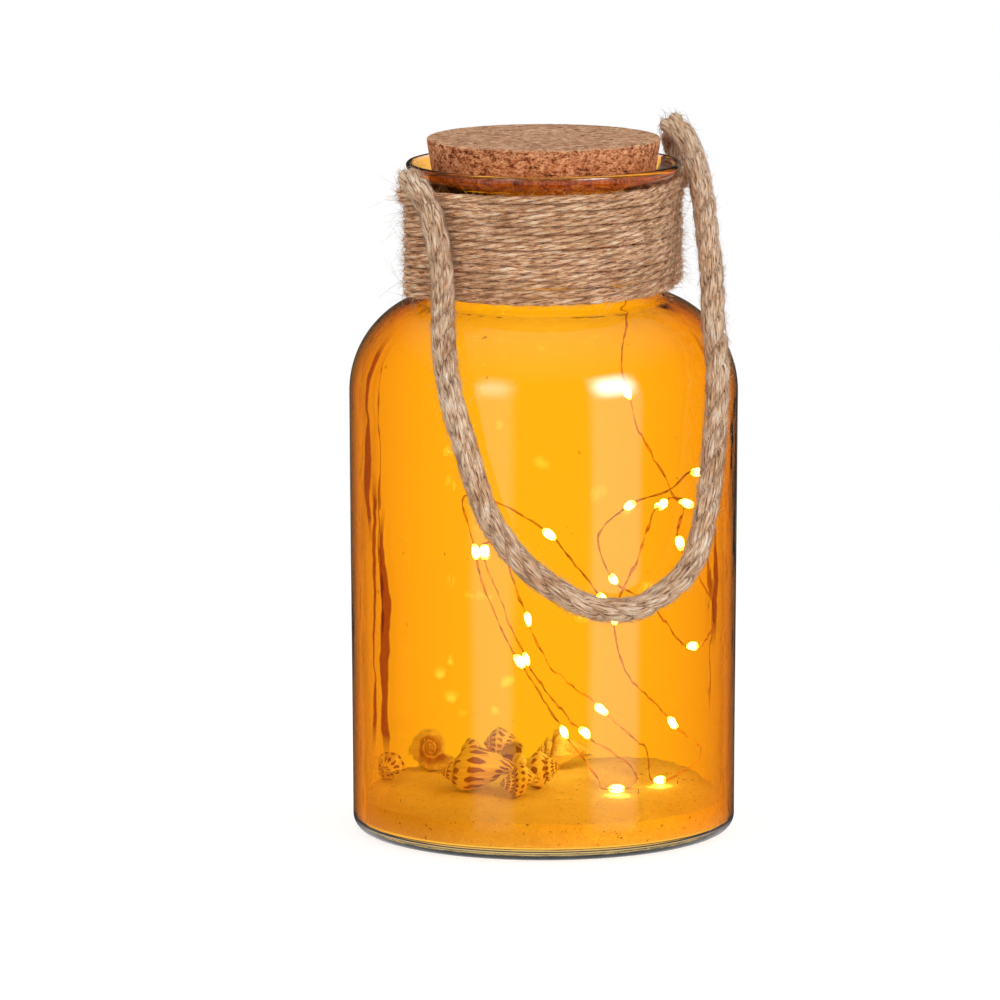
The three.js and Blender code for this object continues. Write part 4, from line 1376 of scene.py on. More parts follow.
    def add_floor(self) -> None:
        """Lays the pale floor, which looks white and keeps the jar's soft shadow."""
        bm = bmesh.new()
        bmesh.ops.create_circle(bm, cap_ends=True, segments=self.FLOOR_SIDES, radius=self.floor_radius)
        bmesh.ops.translate(bm, verts=bm.verts, vec=(0, 0, -self.floor_drop * MM))
        floor = add_object("floor", bm)
        paper = bpy.data.materials.new("white paper, matt")
        paper.use_nodes = True
        tree = paper.node_tree
        add = partial(add_node, tree)
        tree.nodes.clear()
        place = add("TexCoord").outputs["Object"]
        pulp = add("TexNoise", {"Vector": place, "Scale": self.PULP, "Detail": 3.0})
        shades = add("ValToRGB", {0: pulp}, stops=[(0.3, "#ECECEC"), (0.7, "#F2F2F2")])
        matt = add("BsdfDiffuse", {"Color": shades})
        soft = add("BsdfDiffuse", {"Color": to_linear("#A0A0A0")})
        lift = add("Emission", {"Color": WHITE, "Strength": self.FLOOR_LIFT})
        bright = add("AddShader", {0: soft, 1: lift})
        through = add("Emission", {"Color": WHITE, "Strength": self.THROUGH[1]})
        path = add("LightPath")
        glass = add("MixShader", {0: path.outputs["Is Transmission Ray"], 1: matt, 2: through})
        both = add("MixShader", {0: path.outputs["Is Camera Ray"], 1: glass, 2: bright})
        add("OutputMaterial", {"Surface": both})
        floor.data.materials.append(paper)
        floor.visible_glossy = False
        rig.stage(floor)


# Rope, twine and string

# The last colour of each is the painted shade in the groove between strands.
ROPE_JUTE = JuteFibre("jute rope, laid", ("#70432A", "#D6A983", "#F6D4B0", "#FFF6E6"), 7.0, 17.0, "#4A2A16")
TWINE_JUTE = JuteFibre("jute twine, spun", ("#90562C", "#EDB07C", "#FFD6A6", "#FFF1DA"), 5.0, 7.0, "#A2764C")
# The bearings to each side of a place, in degrees, at which something may hold the tight twine off the neck.
BEARINGS = range(-80, 81, 2)


@dataclass
class RopeHandle:
    """The laid rope: two ends under the twine, a fold above each, and the hanging loop.

    Attributes:
        diameter: the rope's diameter.
        strands: how many strands it has.
        strand: a strand's diameter before it is pressed against the others.
        offset: the distance from the rope's middle to a strand's.
        lay: the length in which a strand goes once round.
        end_bottom, end_heights: the height at which the ends under the twine begin, and others along them.
        end_place: how far from the axis an end lies.
        lean, lean_start: how far it leans out for each millimetre above a height, and that height.
        end_shape: the thickness and width that the twine presses an end to.
        fold_left, fold_right: places along each fold, from the end to the handle.
        loop: places along the hanging loop, from left to right.
        fold_least_unshaded: the least share that a fold counts as standing out, which keeps its painted shade between
            strands light, as the fold opens when it swings.
        bend_left, bend_right: where along Y a fold begins to turn with the swinging loop, and where it has.
        fibres: the lying, the straying and the standing fibres.
    """

    diameter: float = 7.5
    strands: int = 3
    strand: float = 4.2
    offset: float = 1.95
    lay: float = 25.0
    end_bottom: float = 169.1
    end_heights: tuple[float, ...] = (180.0, 190.0, 195.4, 199.5)
    end_place: float = 40.4
    lean: float = 0.5
    lean_start: float = 195.4
    end_shape: Pair = (6.2, 8.0)
    fold_least_unshaded: float = 0.55
    bend_left: Pair = (-3.9, -10.3)
    bend_right: Pair = (-3.4, -8.2)
    fibres: tuple[Fuzz, ...] = (
        Fuzz(2.4, (3.0, 8.0), 0.085, (0.0, 0.06), 0.3),
        Fuzz(0.4, (3.0, 6.0), 0.05, (0.1, 0.6), 1.4),
        Fuzz(3.0, (0.8, 2.6), 0.06, (0.3, 1.2), 0.9),
    )
    fold_left: tuple[Place, ...] = (
        (-43.8, -0.1, 202.3), (-45.3, -1, 204), (-46.8, -4.8, 205.2), (-47, -9.4, 203.6), (-46, -13.2, 200),
    )
    fold_right: tuple[Place, ...] = (
        (43.8, 0.1, 202.2), (45.5, 1.4, 204.4), (47, 4, 208.4), (45.6, 4.2, 213.8), (43.8, -0.5, 217.3),
        (44.4, -5.5, 215), (45.6, -9.5, 210),
    )
    loop: tuple[Place, ...] = (
        (-44.9, -14.3, 197), (-43.2, -15.4, 190), (-41.6, -16.4, 178.5), (-42.6, -19.6, 169),
        (-47.5, -31, 159.3), (-50, -42.3, 143), (-46.2, -44.7, 127.6), (-44.1, -46.7, 118.2),
        (-41, -49.3, 107.7), (-36.1, -53, 98.4), (-30.6, -56.3, 91.5), (-22.9, -59.8, 85.1),
        (-14.7, -62.3, 80.3), (-6.9, -63.6, 78.4), (1.7, -63.9, 78.5), (10.4, -63.1, 81.7),
        (18.3, -61.3, 86.4), (23.5, -59.6, 92.3), (26.4, -58.4, 99.6), (28.6, -57.4, 107.4),
        (31.4, -56.6, 127.1), (33, -55.1, 141), (34.6, -51.6, 151.2), (37.1, -43.5, 162), (40.3, -36, 173.3),
        (43, -27.4, 184.5), (45.4, -19.4, 194.3), (46.1, -15.3, 200.5), (45.9, -12.4, 205.7),
    )

    # How far out the strands are pressed, beside the diameter, and their fibres' turns in a lay.
    PRESS, TWIST = 0.47, 0.9
    # By what share a strand's thickness varies, over what length, and where in the noise.
    UNEVEN, SEED = (0.07, 6.0), (3.1, 0.7)
    # How many sides a strand has, and the length of a section.
    SIDES, STEP = 14, 0.9

    def away(self, z: float) -> float:
        """How far from the axis an end lies at a height, in millimetres."""
        return self.end_place + self.lean * max(0.0, z - self.lean_start)

    def ends(self, side: int) -> list[Place]:
        """Places along an end under the twine, from the bottom up, on side -1 or 1."""
        return [(side * self.away(z), 0.0, z) for z in (self.end_bottom, *self.end_heights)]

    def build(self) -> None:
        """Lays the rope in one run of strands and cuts it where its pieces meet."""
        stretches = [self.ends(-1), self.fold_left, self.loop, self.fold_right[::-1], self.ends(1)[::-1]]
        places = [Vector(p) * MM for stretch in stretches for p in stretch]
        route = Route.smooth(places, self.STEP * MM)
        cuts = [0]
        counted = 0
        for stretch in stretches[:-1]:
            counted += len(stretch)
            seam = (places[counted - 1] + places[counted]) / 2
            cuts.append(min(range(len(route.points)), key=lambda i: (route.points[i] - seam).length))
        cuts.append(len(route.points) - 1)
        lines = route.strands(self.strands, self.offset * MM, self.lay * MM)
        names = ("rope_end_left", "rope_fold_left", "handle_rope", "rope_fold_right", "rope_end_right")
        along = route.distances()
        for name, a, b in zip(names, cuts, cuts[1:]):
            bm = bmesh.new()
            for line in lines:
                sweep(
                    bm, line[a : b + 1], self.unevenness(along[a], along[b]), self.SIDES, along[a],
                    self.TWIST / (self.lay * MM), route.points[a : b + 1], self.PRESS * self.diameter * MM,
                )
            centre = Route(route.points[a : b + 1])
            piece = self.finish(name, bm, centre, [Route(line[a : b + 1]) for line in lines])
            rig.replaces(piece, name)

    def unevenness(self, start: float, end: float) -> Callable[[float], float]:
        """The radius of a strand, a little uneven as spun jute is.

        Args:
            start: where the stretch of strand starts along the rope, in metres.
            end: where it ends.

        Returns:
            A function that gives the radius for a share of the stretch, in metres.
        """
        amount, length = self.UNEVEN

        def radius(share: float) -> float:
            """The radius at a share of the stretch from 0 to 1, in metres."""
            s = start + share * (end - start)
            return self.strand / 2 * MM * (1 + amount * noise.noise(Vector((s / (length * MM), *self.SEED))))

        return radius

    def finish(self, name: str, bm: BMesh, centre: Route, strands: list[Route]) -> bpy.types.Object:
        """Presses one stretch to its shape, dresses it and joins it to its body.

        Args:
            name: the stretch's name.
            bm: its strands' mesh.
            centre: its centre line.
            strands: its strands' lines.

        Returns:
            The piece.
        """
        if name.startswith("rope_end"):
            side = 1 if name.endswith("right") else -1
            thin, wide = (size / self.diameter for size in self.end_shape)
            middle = Vector((side * self.end_place * MM, 0, 0))
            pressed = Matrix.Translation(middle) @ Matrix.Diagonal((thin, wide, 1, 1))
            bmesh.ops.transform(bm, verts=bm.verts, matrix=pressed @ Matrix.Translation(-middle))
        # On a fold the painted shade between strands is kept light.
        if name.startswith("rope_fold"):
            proud = bm.verts.layers.float["proud"]
            for v in bm.verts:
                v[proud] = max(v[proud], self.fold_least_unshaded)
        piece = make_piece(name, bm, [ROPE_JUTE], "jute_rope")
        rng = random.Random(name)
        tufts = bmesh.new()
        length = centre.distances()[-1] / MM
        for strand in strands:
            for fibre in self.fibres:
                fibre.grow(
                    tufts, strand, self.strand / 2 * MM, round(fibre.count * length), 0.0, rng, centre.points,
                    self.PRESS * self.diameter * MM,
                )
        fuzz = make_piece(name + "_fuzz", tufts, [ROPE_JUTE], "jute_rope")
        if name == "handle_rope":
            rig.ride(piece, "handle")
            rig.ride(fuzz, "handle")
            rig.cord(
                piece, exit=centre.points[0], length=centre.distances()[-1], diameter=self.diameter * MM,
                far_end="object", stiffness="medium", lay="hanging", path=centre.points, with_pieces=[fuzz],
            )
        elif name.startswith("rope_fold"):
            bend = self.bend_right if name.endswith("right") else self.bend_left
            start, end = (Vector((0, y * MM, 0)) for y in bend)
            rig.blend(piece, "jar", "handle", start, end)
            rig.blend(fuzz, "jar", "handle", start, end)
        else:
            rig.ride(piece, "jar")
            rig.ride(fuzz, "jar")
        return piece


@dataclass
class NeckTwine:
    """The twine wound round the neck and over the two rope ends.

    Attributes:
        neck: the neck's outside radius.
        diameter: the twine's diameter in the solid.
        swell: its loose diameter, at which the turns touch.
        gap: the clear space between two turns before they swell.
        slack: how far the solid's twine lies off the neck.
        turns: how many turns there are.
        bottom: the height at which the winding begins.
        plies, ply: how many plies it has, and their diameter.
        lay, twist: the length in which a ply goes once round, to the left, and its fibres' turns in it.
        cover: half the thickness and half the width of a rope end as the twine meets it.
        fibres: the lying, the straying and the standing fibres.
        rope: the rope whose ends it runs over.
    """

    neck: float = 37.0
    diameter: float = 1.85
    swell: float = 2.58
    gap: float = 0.52
    slack: float = 0.95
    turns: int = 14
    bottom: float = 168.2
    plies: int = 3
    ply: float = 1.46
    lay: float = 24.0
    twist: float = -0.3
    cover: Pair = (3.1, 4.1)
    fibres: tuple[Fuzz, ...] = (
        Fuzz(3000, (3.5, 7.0), 0.065, (0.0, 0.12), 0.45),
        Fuzz(900, (6.0, 14.0), 0.05, (0.05, 0.35), 1.2),
        Fuzz(8200, (1.0, 3.2), 0.065, (0.25, 1.1), 1.5),
    )
    rope: RopeHandle = field(default_factory=RopeHandle)

    # By what share a ply's thickness varies, how often, and where in the noise.
    UNEVEN, SEED = (0.22, 420.0), (0.6, 2.3)
    # A ply's sides, the places in a turn of the winding, and the length of a section.
    SIDES, STEPS, STEP = 8, 96, 1.0
    # How far on along the pattern of the fibres the next ply is, in metres.
    SHIFT = 0.31
    # How far the winding strays outwards and upwards, how often, and where in the noise.
    WANDER = ((0.3, 3.0, 0.3, 1.7), (0.5, 1.3, 5.2, 0.4))
    # How far the seam between two turns stands out at least, where shade is painted along it, and its width beside the
    # radius.
    SEAM_SHADE = (0.4, 0.3)
    # How far from the middle fibres start, beside the loose diameter, and how far they turn.
    ROOT, SLANT = 0.46, -0.14

    def reach(self, angle: float, z: float) -> float:
        """How far from the axis the twine's middle lies, drawn tight over the neck and the rope ends.

        Args:
            angle: the bearing about the axis, in radians.
            z: the height, in millimetres.

        Returns:
            The distance, in millimetres.
        """
        thick, wide = self.cover
        found = math.inf
        for d in BEARINGS:
            a = angle + math.radians(d)
            along, across = abs(math.cos(a)), math.sin(a)
            over = self.rope.away(z) * along + math.hypot(thick * along, wide * across)
            wall = max(self.neck, over) + self.diameter / 2 + self.slack
            found = min(found, wall / math.cos(math.radians(d)))
        return found

    def route(self) -> Route:
        """Winds the twine's middle in one unbroken line with small irregularities.

        Returns:
            The line.
        """
        pitch = self.diameter + self.gap
        points = []
        for i in range(self.turns * self.STEPS):
            a = TURN * i / self.STEPS
            z = self.bottom + pitch * i / self.STEPS
            out, up = (far * noise.noise(Vector((a * often, *seed))) for far, often, *seed in self.WANDER)
            r = self.reach(a, z) + out
            points.append(Vector((r * math.cos(a), r * math.sin(a), z + up)) * MM)
        return Route(points).spaced(self.STEP * MM)

    def thickness(self, share: float, ply: int) -> float:
        """The uneven radius of a ply at a share of its length, in metres."""
        place = Vector((share * self.UNEVEN[1], self.SEED[1] * ply, self.SEED[0]))
        return self.ply / 2 * MM * (1 + self.UNEVEN[0] * noise.noise(place))

    def build(self) -> None:
        """Twists the plies, winds them, paints shade along the seam between two turns and adds the fuzz."""
        route = self.route()
        bm = bmesh.new()
        offset = (self.swell - self.ply) / 2 * MM
        for k, line in enumerate(route.strands(self.plies, offset, -self.lay * MM)):
            sweep(
                bm, line, lambda share: self.thickness(share, k), self.SIDES, self.SHIFT * k,
                self.twist / (self.lay * MM), route.points, self.swell / 2 * MM,
            )
        # Painted shade along the seam between two turns, on top of the painted shade between plies.
        proud = bm.verts.layers.float["proud"]
        least, wide = self.SEAM_SHADE
        for n, v in enumerate(bm.verts):
            middle = route.points[n // self.SIDES % len(route.points)]
            level = abs(v.co.z - middle.z) / (self.swell / 2 * MM)
            v[proud] = min(v[proud], max(least, (1 - level) / wide))
        twine = make_piece("neck_twine", bm, [TWINE_JUTE], "jute_twine")
        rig.ride(twine, "jar")
        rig.replaces(twine, "neck_twine")
        tufts = bmesh.new()
        rng = random.Random("neck twine")
        for fibre in self.fibres:
            fibre.grow(tufts, route, self.swell * self.ROOT * MM, fibre.count, self.SLANT, rng, outward=True)
        fuzz = make_piece("neck_twine_fuzz", tufts, [TWINE_JUTE], "jute_twine")
        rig.ride(fuzz, "jar")


@dataclass
class LightString:
    """The string: two fine wires side by side, with a lit drop of resin at each light.

    Attributes:
        wire: the diameter of one wire.
        apart: the distance from the string's middle to each wire's.
        lay: the length in which the two wires go once round each other.
        diameter: the diameter over both wires.
        drop: the radius and place along its length of points of a drop.
        straight: how far the wire runs straight at each side of a light's middle.
        start: where the wire leaves the board, and where it leaves the case.
        places: where the string goes after that, with 1 where a light sits and 0 where none does.
        pay_out: the heights between which the string follows the rising stopper.
    """

    wire: float = 0.3
    apart: float = 0.19
    lay: float = 16.0
    diameter: float = 0.7
    straight: float = 3.2
    drop: tuple[Pair, ...] = (
        (0.0, -2.6), (0.45, -2.45), (0.85, -1.9), (1.18, -1.05), (1.3, -0.2),
        (1.27, 0.6), (1.05, 1.45), (0.7, 2.15), (0.35, 2.5), (0.0, 2.6),
    )
    start: tuple[Place, Place] = ((18.5, -6, 198.2), (18.5, -6, 187))
    pay_out: Pair = (12.0, 189.0)
    places: tuple[tuple[float, float, float, int], ...] = (
        (24, -9, 163.5, 0), (22.5, -8, 143.5, 0), (24.5, -9, 136, 1), (27, -14.5, 123.5, 0),
        (31, -23, 109.5, 0), (34.5, -29, 103.5, 1), (40.5, -36, 106, 0), (31, -43, 115.5, 1),
        (23, -41.5, 110.5, 0), (15, -31, 104.5, 1), (11.5, -14, 92.5, 0), (21.5, -5.5, 77, 1),
        (36.5, -1.5, 67, 0), (46.5, -10, 55, 1), (48.5, -22, 69, 0), (42.5, -8.5, 87.5, 1), (48, 2.5, 99, 0),
        (39, -2.5, 99, 1), (29, -8.5, 84.5, 0), (20.5, -9.5, 66, 1), (24, -8.5, 49, 0), (41.5, -5.5, 30.5, 1),
        (49.5, -11.5, 21.5, 0), (35.5, -8.5, 13.5, 1), (38.5, 9, 20, 0), (28.5, 18, 31.5, 1),
        (16, 25.5, 44, 0), (9, 31, 60, 1), (2, 32, 77.5, 0), (-5.5, 29, 85.5, 0), (-9, 26, 83, 1),
        (-6, 20, 69, 0), (2.5, 18.5, 49.5, 1), (16, 18, 31, 0), (22.5, 18, 24.5, 1), (34.5, 10, 14.5, 0),
        (17, -16.5, 13.5, 1), (20, 4, 14, 0), (11, 8, 27.5, 1), (2, 8, 42, 0), (-4.5, 8.5, 51, 1),
        (-15.5, 9, 72, 0), (-19.5, 9, 86.5, 1), (-24.5, 6.5, 104, 0), (-18.5, -7, 104, 0), (-5, -15, 94.5, 1),
        (6, -13.5, 82, 0), (14, -13, 72.5, 1),
    )

    # How slowly the glow fades from the middle of a drop to its ends.
    FADE = 1.6
    # The sides of a wire and of a drop, and the length of a section of wire.
    SIDES, STEP = (6, 12), 1.1

    def lights(self) -> Iterator[tuple[int, Vector, Vector]]:
        """Finds the lights.

        Yields:
            A light's number in the list of places, its place in metres and the way the wire passes it.
        """
        spots = [Vector(p[:3]) * MM for p in (*self.start, *self.places)]
        spots.append(2 * spots[-1] - spots[-2])
        for i, place in enumerate(self.places):
            if place[3]:
                k = i + len(self.start)
                yield i, spots[k], Route.slope(*spots[k - 1 : k + 2]).normalized()

    def route(self) -> Route:
        """Runs the string's middle straight through each light.

        Returns:
            The line.
        """
        half = self.straight * MM
        passing = {i: (spot - half * way, spot + half * way) for i, spot, way in self.lights()}
        points = [Vector(p) * MM for p in self.start]
        for i, place in enumerate(self.places):
            points.extend(passing.get(i, (Vector(place[:3]) * MM,)))
        return Route.smooth(points, self.STEP * MM)

    def build(self) -> None:
        """Twists the two wires, casts the drops and lets both follow the stopper."""
        route = self.route()
        bm = bmesh.new()
        for line in route.strands(2, self.apart * MM, self.lay * MM):
            sweep(bm, line, lambda share: self.wire / 2 * MM, self.SIDES[0])
        wire = make_piece("led_wire", bm, [EnamelledCopper("enamelled copper wire, drawn")], "copper_wire")
        drops = bmesh.new()
        glow = drops.verts.layers.float.new("glow")
        for count, (_, spot, way) in enumerate(self.lights(), 1):
            self.cast_drop(drops, glow, spot, way)
        lights = make_piece("led_drops", drops, [LitResin("clear resin over a lit chip, cast")], "led")
        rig.replaces(wire, "led_wire")
        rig.replaces(lights, *[f"led_{n:02d}" for n in range(1, count + 1)])
        low, high = (Vector((0, 0, z * MM)) for z in self.pay_out)
        for piece in (wire, lights):
            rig.blend(piece, "jar", "lid", low, high)
        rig.cord(
            wire, exit=Vector(self.start[1]) * MM, length=route.distances()[-1], diameter=self.diameter * MM,
            far_end="fitting", stiffness="stiff", lay="loose", path=route.points, with_pieces=[lights],
        )

    def cast_drop(self, bm: BMesh, glow: Any, spot: Vector, way: Vector) -> None:
        """Adds one drop of resin.

        Args:
            bm: the mesh of all the drops.
            glow: its attribute for the light's strength.
            spot: the drop's middle.
            way: the direction of the wire.
        """
        one = bmesh.new()
        spin_profile(one, self.drop, self.SIDES[1])
        reach = self.drop[-1][1] * MM
        heights = {v: v.co.z for v in one.verts}
        turn = way.to_track_quat("Z", "Y").to_matrix().to_4x4()
        bmesh.ops.transform(one, verts=one.verts, matrix=Matrix.Translation(spot) @ turn)
        copies = {v: bm.verts.new(v.co) for v in one.verts}
        for old, new in copies.items():
            new[glow] = 1 - min(1.0, abs(heights[old]) / reach) ** self.FADE
        for face in one.faces:
            bm.faces.new([copies[v] for v in face.verts])
        one.free()


# Jar, stopper, sand and shells

# How many steps the parts of the jar's profile have.
HEEL_STEPS, WALL_STEPS, SHOULDER_STEPS, THROAT_STEPS = 8, 24, 44, 8
NECK_STEPS, FLARE_STEPS, RIM_STEPS = 6, 10, 4
# The slope from level beyond which a face of the jar looks outwards.
OUTWARD = 0.05
# The angles between which the rim's edge is round, in degrees.
RIM_ROUND = (30, 150)


@dataclass
class GlassJar:
    """The blown jar, smooth all round, with its flared lip, thick base and bubbles.

    Attributes:
        body: the outside radius of the body below the shoulder.
        base: the outside radius at the heel.
        heel: the heel's round.
        corner: the round inside it, by the floor.
        floor: the thickness of the base.
        wall: the thickness of the wall.
        shoulder: the height at which the shoulder begins.
        round: the shoulder's outside round.
        neck: the neck's outside radius.
        neck_top: the height at which the lip begins to flare.
        lip: the lip's outside radius.
        edge: the lip's thickness.
        rim: the height of the rim.
        throat: how far the outside and the inside of the throat, where neck and shoulder meet, are rounded.
        ripple, ripple_length: how far the wall's inside strays, over what length round the jar and along it.
        bubbles: how many bubbles are in the glass.
    """

    body: float = 60.0
    base: float = 59.2
    heel: float = 4.5
    corner: float = 1.4
    floor: float = 3.6
    wall: float = 3.0
    shoulder: float = 137.0
    round: float = 31.0
    neck: float = 37.0
    neck_top: float = 200.0
    lip: float = 42.4
    edge: float = 2.0
    rim: float = 208.0
    throat: Pair = (2.0, 4.5)
    ripple: float = 0.35
    ripple_length: Pair = (30.0, 70.0)
    bubbles: int = 90

    # The radii of two rings in the level base and floor, and the sides of the jar.
    FLATS, SIDES = (20.0, 40.0), 160
    # How far on in the noise the inside's ripple is, and how far the outside strays beside it.
    RIPPLE_SHIFT, RIPPLE_OUTSIDE = 3.0, 0.25
    # How far above the base and above the shoulder's start bubbles lie.
    BUBBLE_SPAN = (12.0, 14.0)
    # The least and the greatest half width of a bubble, and shares of it.
    BUBBLE_SIZE, BUBBLE_SHARE = (0.1, 0.36), (0.5, 1.0)
    # How many times taller than wide bubbles are, and how thick beside that.
    BUBBLE_DRAW, BUBBLE_FLAT = (1.0, 2.6), 0.8

    def flared(self, neck: float, lip: float) -> Profile:
        """Points where the neck flares to the lip, from the neck up.

        Args:
            neck: the radius at the neck.
            lip: the radius at the lip.

        Returns:
            The points.
        """
        height = self.rim - self.edge / 2 - self.neck_top
        shares = [i / FLARE_STEPS for i in range(FLARE_STEPS + 1)]
        return [(neck + (lip - neck) * smoothstep(t), self.neck_top + height * t) for t in shares]

    def outside(self) -> Profile:
        """Draws the outside, from the middle of the base up to the lip's outer edge.

        Returns:
            The profile.
        """
        centre = self.body - self.round
        top = math.degrees(math.acos((self.neck - centre) / self.round))
        points = [(r, 0.0) for r in (0.0, *self.FLATS)]
        points += arc((self.base - self.heel, self.heel), self.heel, -90, 0, HEEL_STEPS)
        points += straight((self.base, self.heel), (self.body, self.shoulder), WALL_STEPS)
        points += self.eased(arc((centre, self.shoulder), self.round, 0, top, SHOULDER_STEPS), self.throat[0])
        points += straight(points[-1], (self.neck, self.neck_top), NECK_STEPS)
        return points + self.flared(self.neck, self.lip)

    def inside(self) -> Profile:
        """Draws the inside, from the lip's inner edge down to the middle of the floor.

        Returns:
            The profile.
        """
        hole = self.neck - self.wall
        centre = self.body - self.round
        inner = self.round - self.wall
        top = math.degrees(math.acos((hole - centre) / inner))
        points = self.flared(hole, self.lip - self.edge)[::-1]
        shoulder = arc((centre, self.shoulder), inner, 0, top, SHOULDER_STEPS)
        shoulder = self.eased(shoulder, self.throat[1])[::-1]
        points += straight(points[-1], shoulder[0], NECK_STEPS) + shoulder
        bend = self.corner
        corner = arc((self.base - self.wall - bend, self.floor + bend), bend, 0, -90, NECK_STEPS)
        points += straight(shoulder[-1], corner[0], WALL_STEPS) + corner
        return points + [(r, self.floor) for r in (*self.FLATS[::-1], 0.0)]

    @staticmethod
    def eased(shoulder: Profile, reach: float) -> Profile:
        """Rounds the corner where the shoulder's arc meets the upright neck.

        Args:
            shoulder: the arc's points, the last of them at the neck.
            reach: how far from the corner the round begins, in millimetres.

        Returns:
            The arc's points up to the round, and the round's.
        """
        corner = Vector(shoulder[-1])
        kept = [p for p in shoulder if (Vector(p) - corner).length > reach]
        start, end = Vector(kept[-1]), corner + Vector((0, reach))
        shares = [i / THROAT_STEPS for i in range(1, THROAT_STEPS + 1)]
        return kept + [tuple((1 - t) ** 2 * start + 2 * t * (1 - t) * corner + t * t * end) for t in shares]

    def build(self) -> None:
        """Spins the jar, makes its wall uneven and adds the bubbles."""
        edge = arc((self.lip - self.edge / 2, self.rim - self.edge / 2), self.edge / 2, *RIM_ROUND, RIM_STEPS)
        bm = bmesh.new()
        spin_profile(bm, self.outside() + edge + self.inside(), self.SIDES)
        bm.normal_update()
        coat = bm.faces.layers.float.new("coat")
        for face in bm.faces:
            middle = face.calc_center_median()
            out = Vector((middle.x, middle.y, 0)).normalized()
            face[coat] = 1.0 if face.normal.dot(out) > OUTWARD else 0.0
        wide, tall = (size * MM for size in self.ripple_length)
        for v in bm.verts:
            out = Vector((v.co.x, v.co.y, 0))
            if out.length > self.FLATS[0] * MM and self.heel + self.floor < v.co.z / MM < self.neck_top:
                inner = v.normal.dot(out) < 0
                place = Vector((v.co.x / wide, v.co.y / wide, v.co.z / tall + self.RIPPLE_SHIFT * inner))
                share = 1.0 if inner else self.RIPPLE_OUTSIDE
                v.co += out.normalized() * noise.noise(place) * self.ripple * MM * share
        jar = make_piece(
            "glass_jar", bm, [LacqueredGlass("soda-lime glass, blown, amber lacquer")], "amber_glass",
            crease=60.0,
        )
        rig.ride(jar, "jar")
        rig.replaces(jar, "glass_jar")
        self.blow_bubbles()

    def blow_bubbles(self) -> None:
        """Scatters the small drawn-out bubbles through the wall."""
        rng = random.Random("bubbles")
        bm = bmesh.new()
        for _ in range(self.bubbles):
            z = rng.uniform(self.BUBBLE_SPAN[0], self.shoulder + self.BUBBLE_SPAN[1])
            a = rng.uniform(0, TURN)
            if z < self.shoulder:
                r = self.base + (self.body - self.base) * z / self.shoulder
            else:
                r = self.body - self.round + math.sqrt(self.round**2 - (z - self.shoulder) ** 2)
            wide = rng.uniform(*self.BUBBLE_SIZE) * rng.uniform(*self.BUBBLE_SHARE)
            tall = wide * rng.uniform(*self.BUBBLE_DRAW)
            place = Matrix.Rotation(a, 4, "Z") @ Matrix.Translation(((r - self.wall / 2) * MM, 0, z * MM))
            size = Matrix.Diagonal((wide * self.BUBBLE_FLAT * MM, wide * MM, tall * MM, 1))
            bmesh.ops.create_icosphere(bm, subdivisions=2, radius=1.0, matrix=place @ size)
        bubbles = make_piece(
            "glass_bubbles", bm, [AirBubble("air bubble in glass")], "amber_glass", crease=180.0,
        )
        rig.ride(bubbles, "jar")


